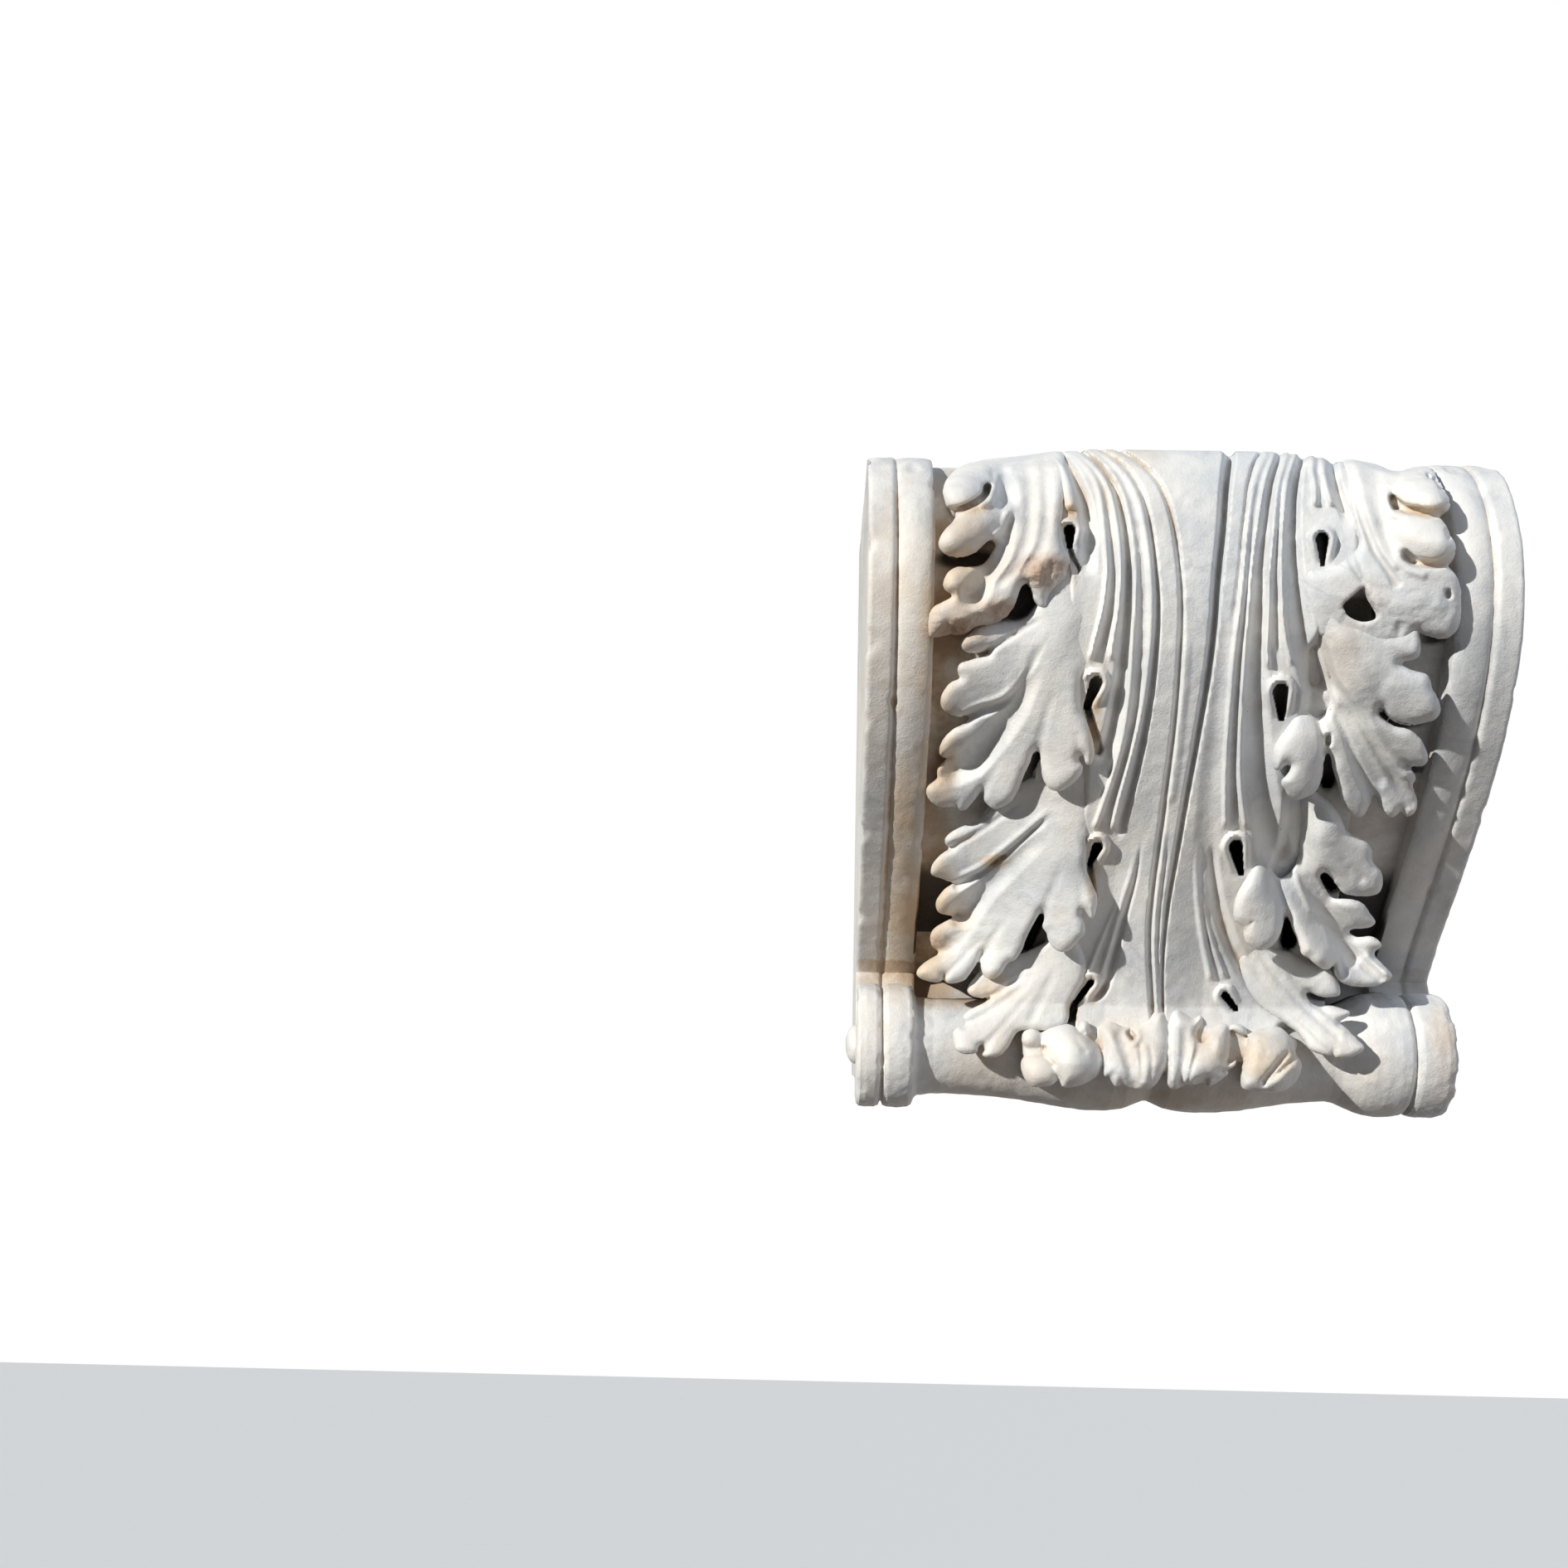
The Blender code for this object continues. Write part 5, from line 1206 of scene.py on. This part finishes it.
def throughPoints(points, steps=6, closed=False):
    # a smooth line through drawn points
    points = np.array(points, float)
    if closed:
        a, b, c, d = (np.roll(points, k, axis=0) for k in (1, 0, -1, -2))
    else:
        padded = np.vstack([2 * points[0] - points[1], points, 2 * points[-1] - points[-2]])
        a, b, c, d = padded[:-3], padded[1:-2], padded[2:-1], padded[3:]
    rows = [0.5 * (2 * b + (c - a) * t + (2 * a - 5 * b + 4 * c - d) * t**2
                   + (3 * b - a - 3 * c + d) * t**3)
            for t in np.arange(steps) / steps]
    line = np.stack(rows, 1).reshape(-1, 2)
    return line if closed else np.vstack([line, points[-1]])


def insideDistance(flat, line):
    # distance to a closed line, below nought outside it
    start, run = line, np.roll(line, -1, axis=0) - line
    end = start + run
    result = np.empty(len(flat))
    batch = 4000
    for first in range(0, len(flat), batch):
        some = flat[first:first + batch]
        gap = some[:, None] - start[None]
        t = np.clip((gap * run).sum(2) / np.maximum((run * run).sum(1), 1e-9), 0, 1)
        best = np.linalg.norm(gap - t[..., None] * run, axis=2).min(1)
        spans = (start[:, 1] > some[:, None, 1]) != (end[:, 1] > some[:, None, 1])
        rise = np.where(np.abs(run[:, 1]) < 1e-9, 1e-9, run[:, 1])
        meets = start[:, 0] + (some[:, None, 1] - start[:, 1]) * run[:, 0] / rise > some[:, None, 0]
        inside = (spans & meets).sum(1) % 2 == 1
        result[first:first + batch] = np.where(inside, best, -best)
    return result


def edgeDrop(distance, radius):
    share = np.clip(1 - distance / radius, 0, 1)
    return radius * (1 - np.sqrt(np.clip(1 - share**2, 0, 1)))


def spreadSmoothly(places, values, flat):
    # one smooth surface near values given at a few places
    reach, slack = 10.0, 0.6
    among = np.sqrt(((places[:, None] - places[None]) ** 2).sum(2) + reach**2)
    mean = values.mean()
    weights = np.linalg.solve(among - slack * np.eye(len(places)), values - mean)
    far = np.sqrt(((flat[:, None] - places[None]) ** 2).sum(2) + reach**2)
    return mean + far @ weights


def leafletRelief(flat, inside, openInside, plan, look):
    # how far the leaflet's face stands in front of the leaf's curve, in millimetres
    places = np.array(plan["forward"], float)
    lift = spreadSmoothly(places[:, :2], places[:, 2], flat)
    lift += look["turn"] * (flat[:, 0] - look["turnFrom"])
    up = np.zeros(len(flat))
    down = np.zeros(len(flat))
    for startWidth, endWidth, startHeight, endHeight, line in plan["folds"]:
        gap, along = lineDistance(flat, throughPoints(line, 4))
        width = startWidth + (endWidth - startWidth) * along
        height = startHeight + (endHeight - startHeight) * along
        shape = np.clip(1 - (gap / (look["foldReach"] * width)) ** 2, 0, 1) ** look["foldShape"]
        shape *= ramp(along, *look["foldStart"])
        up = np.maximum(up, shape * np.maximum(height, 0))
        down = np.maximum(down, shape * np.maximum(-height, 0))
    lift += up - down + look["crown"] * (1 - np.exp(-np.maximum(inside, 0) / look["crownReach"]))
    free = np.ones(len(flat))
    for *place, reach in plan.get("fused", []):
        free *= 1 - np.exp(-((flat - place) ** 2).sum(1) / reach**2)
    lift -= free * edgeDrop(inside, look["edge"]) + edgeDrop(openInside, look["openEdge"])
    for radius, deep, line in plan["bored"]:
        gap, along = lineDistance(flat, throughPoints(line, 4))
        lift -= deep * ramp(radius - gap, *look["boredEdge"])
    return lift


def addSlab(corners, faces, front, back, keep, rows, columns):
    # closes a front and a back grid along the edge of the kept points
    solid = keep.reshape(rows, columns)
    whole = solid[:-1, :-1] & solid[1:, :-1] & solid[:-1, 1:] & solid[1:, 1:]
    number = np.arange(rows * columns).reshape(rows, columns)
    a, b = number[:-1, :-1][whole], number[:-1, 1:][whole]
    c, d = number[1:, 1:][whole], number[1:, :-1][whole]
    used = np.unique(np.concatenate([a, b, c, d]))
    place = np.full(rows * columns, -1)
    place[used] = np.arange(len(used))
    first = len(corners)
    corners += [tuple(p) for p in front[used]] + [tuple(p) for p in back[used]]
    a, b, c, d = (place[k] + first for k in (a, b, c, d))
    over = len(used)
    faces += list(zip(a.tolist(), b.tolist(), c.tolist(), d.tolist()))
    faces += list(zip((d + over).tolist(), (c + over).tolist(), (b + over).tolist(), (a + over).tolist()))
    edges = np.concatenate([np.stack(pair, 1) for pair in ((a, b), (b, c), (c, d), (d, a))])
    key = np.sort(edges, 1)
    _, index, count = np.unique(key[:, 0] * 10**7 + key[:, 1], return_index=True, return_counts=True)
    for p, q in edges[index[count == 1]].tolist():
        faces.append((q, p, p + over, q + over))


def insideGrid(grid, inset):
    # the grid's points, those near the outline moved onto it, and which of them are inside
    step = leafletLook["step"]
    columns, rows, flat, inside = grid
    level = inside - inset
    slopeZ, slopeX = np.gradient(level.reshape(rows, columns), step)
    slope = np.stack([slopeX.ravel(), slopeZ.ravel()], 1)
    slope /= np.maximum(np.linalg.norm(slope, axis=1), 0.3)[:, None]
    snap = 0.65 * step
    moved = flat - np.where(np.abs(level) < snap, level, 0)[:, None] * slope
    return moved, level > -snap


def keepLargest(item):
    # drops crumbs and closed pockets
    a, b = readEdges(item)
    label = np.arange(len(item.data.vertices))
    while True:
        low = np.minimum(label[a], label[b])
        fresh = label.copy()
        np.minimum.at(fresh, a, low)
        np.minimum.at(fresh, b, low)
        fresh = fresh[fresh]
        if np.array_equal(fresh, label):
            break
        label = fresh
    largest = np.bincount(label).argmax()
    loose = label != largest
    if loose.any():
        pickOnly(item)
        item.data.vertices.foreach_set("select", loose)
        item.data.edges.foreach_set("select", loose[a])
        faceFirst = np.empty(len(item.data.polygons), dtype=np.int64)
        item.data.polygons.foreach_get("loop_start", faceFirst)
        loops = np.empty(len(item.data.loops), dtype=np.int64)
        item.data.loops.foreach_get("vertex_index", loops)
        item.data.polygons.foreach_set("select", loose[loops[faceFirst]])
        bpy.ops.object.mode_set(mode="EDIT")
        bpy.ops.mesh.delete(type="VERT")
        bpy.ops.object.mode_set(mode="OBJECT")


def carvedFrom(name, corners, faces, voxel, softening):
    item = meshPiece(name, corners, faces)
    pickOnly(item)
    bpy.ops.object.mode_set(mode="EDIT")
    faceOutwards()
    applyModifier(item, "REMESH", mode="VOXEL", voxel_size=voxel)
    applyModifier(item, "SMOOTH", factor=0.5, iterations=softening)
    keepLargest(item)
    return item


def addLeaflet(corners, faces, plan):
    # the leaflet's face and back, then the narrower stone behind it
    look = {**leafletLook, **plan.get("look", {})}
    step = look["step"]
    outline = throughPoints(plan["outline"], 5, True)
    lowest, highest = outline.min(0) - 2 * step, outline.max(0) + 2 * step
    acrossPlaces = np.arange(lowest[0], highest[0], step)
    upPlaces = np.arange(lowest[1], highest[1], step)
    flat = np.stack([k.ravel() for k in np.meshgrid(acrossPlaces, upPlaces)], 1)
    inside = insideDistance(flat, outline)
    openInside = np.full(len(flat), 99.0)
    for opening in plan.get("openings", []):
        openInside = np.minimum(openInside, -insideDistance(flat, throughPoints(opening, 5, True)))
    grid = (len(acrossPlaces), len(upPlaces), flat, np.minimum(inside, openInside))

    moved, keep = insideGrid(grid, 0)
    lift = leafletRelief(moved, np.maximum(inside, 0), np.maximum(openInside, 0), plan, look)
    front = onLeaf(moved[:, 0] * mm, moved[:, 1] * mm, lift * mm)
    share = np.clip(1 - np.minimum(inside, openInside * 2) / look["edge"], 0, 1)
    thick = (look["thinEdge"] + look["thickness"] * np.sqrt(1 - share**2)) * mm
    back = front + np.stack([0 * thick, thick, 0 * thick], 1)
    addSlab(corners, faces, front, back, keep, grid[1], grid[0])

    moved, keep = insideGrid(grid, look["undercut"])
    front = onLeaf(moved[:, 0] * mm, moved[:, 1] * mm, (lift - look["sunk"] * look["thickness"]) * mm)
    back = front.copy()
    back[:, 1] = np.maximum(rooting(front[:, 2]), front[:, 1] + 0.002)
    addSlab(corners, faces, front, back, keep, grid[1], grid[0])


def makeLeaflet(name, plans, seed, limit):
    corners, faces = [], []
    for plan in plans:
        addLeaflet(corners, faces, plan)
    item = carvedFrom(name, corners, faces, leafletLook["voxel"], leafletLook["softening"])
    points, normals = readPoints(item), readPoints(item, "normal")
    rough = tintFrom(drawnPlace(points), breaks + roughPlaces)
    even, broken = ([(size, seed + extra, height) for size, extra, height in leafletLook[name]]
                    for name in ("lumps", "roughLumps"))
    worn = lumpsOf(points, even) + rough * lumpsOf(points, broken)
    points += normals * worn[:, None]
    points[:, 2] = np.minimum(points[:, 2], stone["topLimit"])
    writePoints(item, points)
    if triangleCount(item) > limit:
        applyModifier(item, "DECIMATE", ratio=limit / triangleCount(item))
    return finishPiece(item, 50)


# The tip that curls forward over the roll: bulbs drawn as the leaflets are
bulb = {"edge": 8.0, "thickness": 14.0, "crown": 3.0, "crownReach": 5.0, "undercut": 3.0}
smallBulb = {"edge": 6.0, "thickness": 10.0, "crown": 1.5, "crownReach": 3.0, "undercut": 2.0}
tipPlans = [
    {
        "look": bulb,
        "outline": [
            (-68.5, -147), (-65, -143.5), (-58, -141.3), (-51, -142), (-46, -145.5), (-40, -150),
            (-35, -155), (-33, -161), (-34, -167), (-38, -172), (-45, -176), (-53, -177.7), (-57, -177.3),
            (-59, -173.5), (-62, -170), (-64, -166), (-66, -161), (-68.5, -157), (-70, -152)],
        "forward": [
            (-60, -148, 5), (-52, -160, 12), (-44, -158, 9), (-38, -164, 4), (-54, -172, 10),
            (-64, -155, 6), (-60, -165, 9)],
        "folds": [
            (2, 2.6, -0.6, -2.4, [(-62, -160), (-60, -168), (-59, -176)]),
            (1.4, 1.6, -0.6, -1.4, [(-50, -149), (-44, -157)])
        ],
        "bored": [(1.7, 9, [(-67, -156), (-69.5, -156.5)]), (1.3, 5, [(-70, -160), (-62, -165)])],
    },
    {
        "look": smallBulb,
        "outline": [
            (-80.5, -166), (-79, -161), (-75, -159.3), (-69, -160), (-63, -163.5), (-59, -168), (-60, -174),
            (-64, -177), (-73, -177.8), (-78, -174)],
        "forward": [(-72, -168, 8), (-64, -170, 6), (-77, -165, 4)], "folds": [], "bored": [],
    },
    {
        "look": smallBulb,
        "outline": [
            (-80, -149.5), (-78, -145.8), (-73, -144.3), (-69, -146.5), (-68, -151), (-71, -155),
            (-76.5, -155.5), (-79.5, -153)],
        "forward": [(-75, -150, 5), (-70, -148, 3)], "folds": [], "bored": [],
    },
    {
        "look": {**smallBulb, "edge": 3.5},
        "outline": [(-79, -152), (-70, -150), (-66, -158), (-70, -163), (-78, -162)],
        "forward": [(-72, -157, -1)], "folds": [], "bored": [],
    },
    {
        "look": bulb,
        "outline": [
            (-35, -148), (-35, -143.5), (-31, -140.3), (-26, -140.5), (-20, -143), (-14, -142), (-8, -138),
            (-2, -133), (3, -134), (5, -142), (5, -154), (3, -163), (0, -170), (-4, -175.5), (-10, -178.6),
            (-18, -177.5), (-23, -175), (-26, -177), (-28.5, -174), (-30, -171.3), (-33, -171), (-33, -163),
            (-33.5, -156)],
        "forward": [
            (-31, -150, 4), (-30, -165, 7), (-18, -160, 6), (-10, -165, 10), (-3, -155, 8), (-12, -175, 8),
            (-2, -140, 3), (-22, -146, 3)],
        "folds": [
            (3, 3, -2.5, -3.5, [(-25, -143), (-22, -152), (-18.5, -162), (-16, -174)]),
            (1.3, 1.5, -1.5, -1.8, [(-12.5, -151), (-11.5, -160), (-12, -172)]),
            (1.2, 1.4, -0.8, -1.4, [(-7, -150), (-5.5, -160), (-6.5, -172)]),
            (1.6, 1.6, 1.5, 1.5, [(-13, -143), (-12.5, -149), (-16, -153)])
        ],
        "bored": [(2.2, 11, [(-17.5, -146.5), (-16, -148.5)])],
    },
    {
        "look": bulb,
        "outline": [
            (4, -150), (4.5, -141), (6, -133), (11, -130.5), (16, -133.8), (20, -136.6), (23, -134.6),
            (25.2, -137), (24, -141.5), (21.5, -146), (22, -150), (25.5, -150.5), (26.5, -147),
            (28, -143.5), (32, -141), (36, -139.6), (39.7, -141), (40.2, -150), (39, -157), (37.5, -162),
            (40, -162), (42.7, -160.3), (42, -163.3), (38, -166), (35, -167.5), (38.5, -167.5), (36, -170),
            (31, -173.8), (26, -176), (25, -173.3), (19, -175), (13, -175.5), (8, -177.7), (4, -176.3),
            (2.3, -171), (3.4, -160)],
        "forward": [
            (8, -140, 2), (7, -155, 8), (6, -172, 8), (16, -150, 4), (24, -142, 2), (22, -165, 8),
            (33, -148, 6), (34, -160, 8), (30, -170, 7)],
        "folds": [
            (1.5, 1.6, 1, 1.6, [(6.5, -138), (6.5, -150), (5.5, -172)]),
            (2.4, 2.4, -2, -4, [(14, -140), (13.5, -155), (11, -174)]),
            (1.2, 1.2, 1.8, 2, [(21, -146), (17, -160), (13.5, -173)]),
            (1.1, 1.2, -1.4, -2, [(22.5, -152), (18, -163), (14.5, -174)]),
            (1.6, 1.8, -1, -2.6, [(40, -161), (31, -168.5), (20, -173)]),
            (6, 6, 1.5, 2.5, [(33, -145), (27, -158), (20, -168)])
        ],
        "bored": [(1.6, 8, [(23.2, -144), (23.6, -149)])],
    },
    {
        "look": bulb,
        "outline": [
            (50.5, -147), (54, -143.5), (60, -141.5), (66, -140.5), (71, -142.5), (74.5, -147), (77, -153),
            (77.8, -157.5), (80.2, -160), (79.7, -166), (76, -172), (71, -176.5), (64, -178.3),
            (52, -178.3), (47, -176.7), (45.5, -173), (46.5, -166), (47.5, -160), (49.5, -152)],
        "forward": [
            (62, -148, 7), (55, -160, 11), (50, -172, 9), (68, -158, 8), (66, -170, 8), (76, -164, 5),
            (58, -175, 8)],
        "folds": [
            (1.8, 2, -3, -5, [(74, -154), (66, -163), (58, -172.5)]),
            (1.2, 1.3, -2, -3.5, [(77, -158), (70, -164), (63, -170)]),
            (2.2, 3, 1.5, 2.5, [(79, -162), (72, -168), (64, -174)]),
            (1.4, 1.4, 0.8, 1.2, [(75, -156.5), (68, -163.5), (61, -171)])
        ],
        "bored": [],
    },
    {
        "look": {**smallBulb, "edge": 4},
        "outline": [
            (40.5, -142), (42, -139.8), (46, -139.5), (49.5, -141.5), (50.2, -145), (47.5, -146.3),
            (43.5, -144.5)],
        "forward": [(45, -142, 3)], "folds": [], "bored": [],
    },
    {
        "look": {**smallBulb, "edge": 4},
        "outline": [
            (-47, -144.5), (-46, -141), (-43.5, -139.6), (-41, -141), (-40.5, -146), (-43, -149),
            (-46, -148)],
        "forward": [(-44, -144, 3)], "folds": [], "bored": [(0.9, 5, [(-44.8, -146.2), (-43.8, -146.5)])],
    },
    {
        "look": {**leafletLook, "edge": 4, "undercut": 1, "crown": 0.5},
        "outline": [
            (-70, -146), (-40, -143), (0, -136), (40, -142), (76, -146), (72, -158), (40, -162), (0, -166),
            (-40, -162), (-68, -158)],
        "forward": [(-60, -150, -4), (-20, -150, -4), (20, -150, -4), (60, -150, -4)], "folds": [],
        "bored": [],
    }
]


print("block and roll")
makeBlock()
makeRoll()
makeBoss("boss_left", -1)
makeBoss("boss_right", 1)
print("ribs")
makeRibs()
print("leaflets")
for number, (name, plan) in enumerate(leaflets.items()):
    makeLeaflet(name, [plan], 100 + 10 * number, leafletLook["triangles"])
print("curled tip")
makeLeaflet("curledTip", tipPlans, 200, leafletLook["tipTriangles"])


# Floor, camera and light

stage = {
    "floorHeight": -0.90,
    "floorReach": 3.0,
    "floorColour": (0.82, 0.82, 0.81, 1),
    "floorRoughness": 0.9,
    "skyColour": (0.76, 0.86, 1.0, 1),          # soft light from above
    "groundColour": (0.42, 0.37, 0.33, 1),      # and from below
    "skyStrength": 0.74,
    "skyBlend": (-0.3, 0.3),                    # from the ground's colour to the sky's, going up
    "sideBlend": (-0.25, 0.45),                 # from the dark side to the bright one, going right
    "darkSide": 0.10,                           # share of it that comes from the left
    "backColour": (1.0, 1.0, 1.0, 1),
    "keyStrength": 4.1,
    "keyColour": (1.0, 0.975, 0.92),
    "keyAngle": 1.2,
    "keyTravel": (0.72, 0.60, -0.38),
}


def makeFloor():
    bpy.ops.object.select_all(action="DESELECT")
    bpy.ops.mesh.primitive_plane_add(size=1)
    floor = bpy.context.object
    floor.name = "floor"
    points = readPoints(floor) * 2 * stage["floorReach"]
    points[:, 2] = stage["floorHeight"]
    writePoints(floor, points)
    plain = bpy.data.materials.new("paleFloor")
    plain.use_nodes = True
    shader = plain.node_tree.nodes["Principled BSDF"]
    shader.inputs["Base Color"].default_value = stage["floorColour"]
    shader.inputs["Roughness"].default_value = stage["floorRoughness"]
    floor.data.materials.append(plain)
    floor.visible_diffuse = False       # it is seen, but throws no light up at the stone
    floor.visible_shadow = False


# Where the camera looks, worked out with its place, called sight above, from the photo
view = {"yaw": 0.0204, "pitch": 0.1290, "roll": 0.0195, "lens": 43.787, "sensor": 36.0}


def makeCamera():
    yaw, pitch, roll = view["yaw"], view["pitch"], view["roll"]
    forward = Vector((-math.sin(yaw) * math.cos(pitch), math.cos(yaw) * math.cos(pitch), math.sin(pitch)))
    level = Vector((math.cos(yaw), math.sin(yaw), 0.0))
    over = level.cross(forward)
    right = math.cos(roll) * level + math.sin(roll) * over
    over = -math.sin(roll) * level + math.cos(roll) * over
    lens = bpy.data.cameras.new("view")
    lens.lens = view["lens"]
    lens.sensor_width = view["sensor"]
    camera = bpy.data.objects.new("view", lens)
    bpy.context.scene.collection.objects.link(camera)
    place = Matrix((right, over, -forward)).transposed().to_4x4()
    place.translation = Vector(sight)
    camera.matrix_world = place
    bpy.context.scene.camera = camera


def makeLights():
    world = bpy.data.worlds.new("plainWorld")
    world.use_nodes = True
    tree = world.node_tree
    sky = tree.nodes["Background"]
    start = Flow(tree, None)
    direction = start.out(start.node("ShaderNodeTexCoord"), "Generated")
    aim = start.node("ShaderNodeSeparateXYZ", Vector=direction)
    colour = start.out(aim, "Z").between(*stage["skyBlend"])
    colour = colour.blend(stage["groundColour"], stage["skyColour"])
    strength = stage["skyStrength"] * (stage["darkSide"] + start.out(aim, "X").between(*stage["sideBlend"]))
    tree.links.new(colour.socket, sky.inputs["Color"])
    tree.links.new(strength.socket, sky.inputs["Strength"])
    back = start.node("ShaderNodeBackground", Color=stage["backColour"], Strength=1.0)
    seen = start.out(start.node("ShaderNodeLightPath"), "Is Camera Ray")
    mixed = start.node("ShaderNodeMixShader", i0=seen, i1=start.out(sky), i2=start.out(back))
    tree.links.new(mixed.outputs[0], tree.nodes["World Output"].inputs["Surface"])
    bpy.context.scene.world = world
    lamp = bpy.data.lights.new("key", "SUN")
    lamp.energy = stage["keyStrength"]
    lamp.color = stage["keyColour"]
    lamp.angle = math.radians(stage["keyAngle"])
    light = bpy.data.objects.new("key", lamp)
    bpy.context.scene.collection.objects.link(light)
    light.rotation_euler = Vector(stage["keyTravel"]).to_track_quat("-Z", "Y").to_euler()
    bpy.context.scene.view_settings.view_transform = "Standard"


print("floor, camera and light")
makeFloor()
makeCamera()
makeLights()

bpy.context.view_layer.update()
print("pieces", len(finished), "triangles", sum(triangleCount(item) for item in finished))
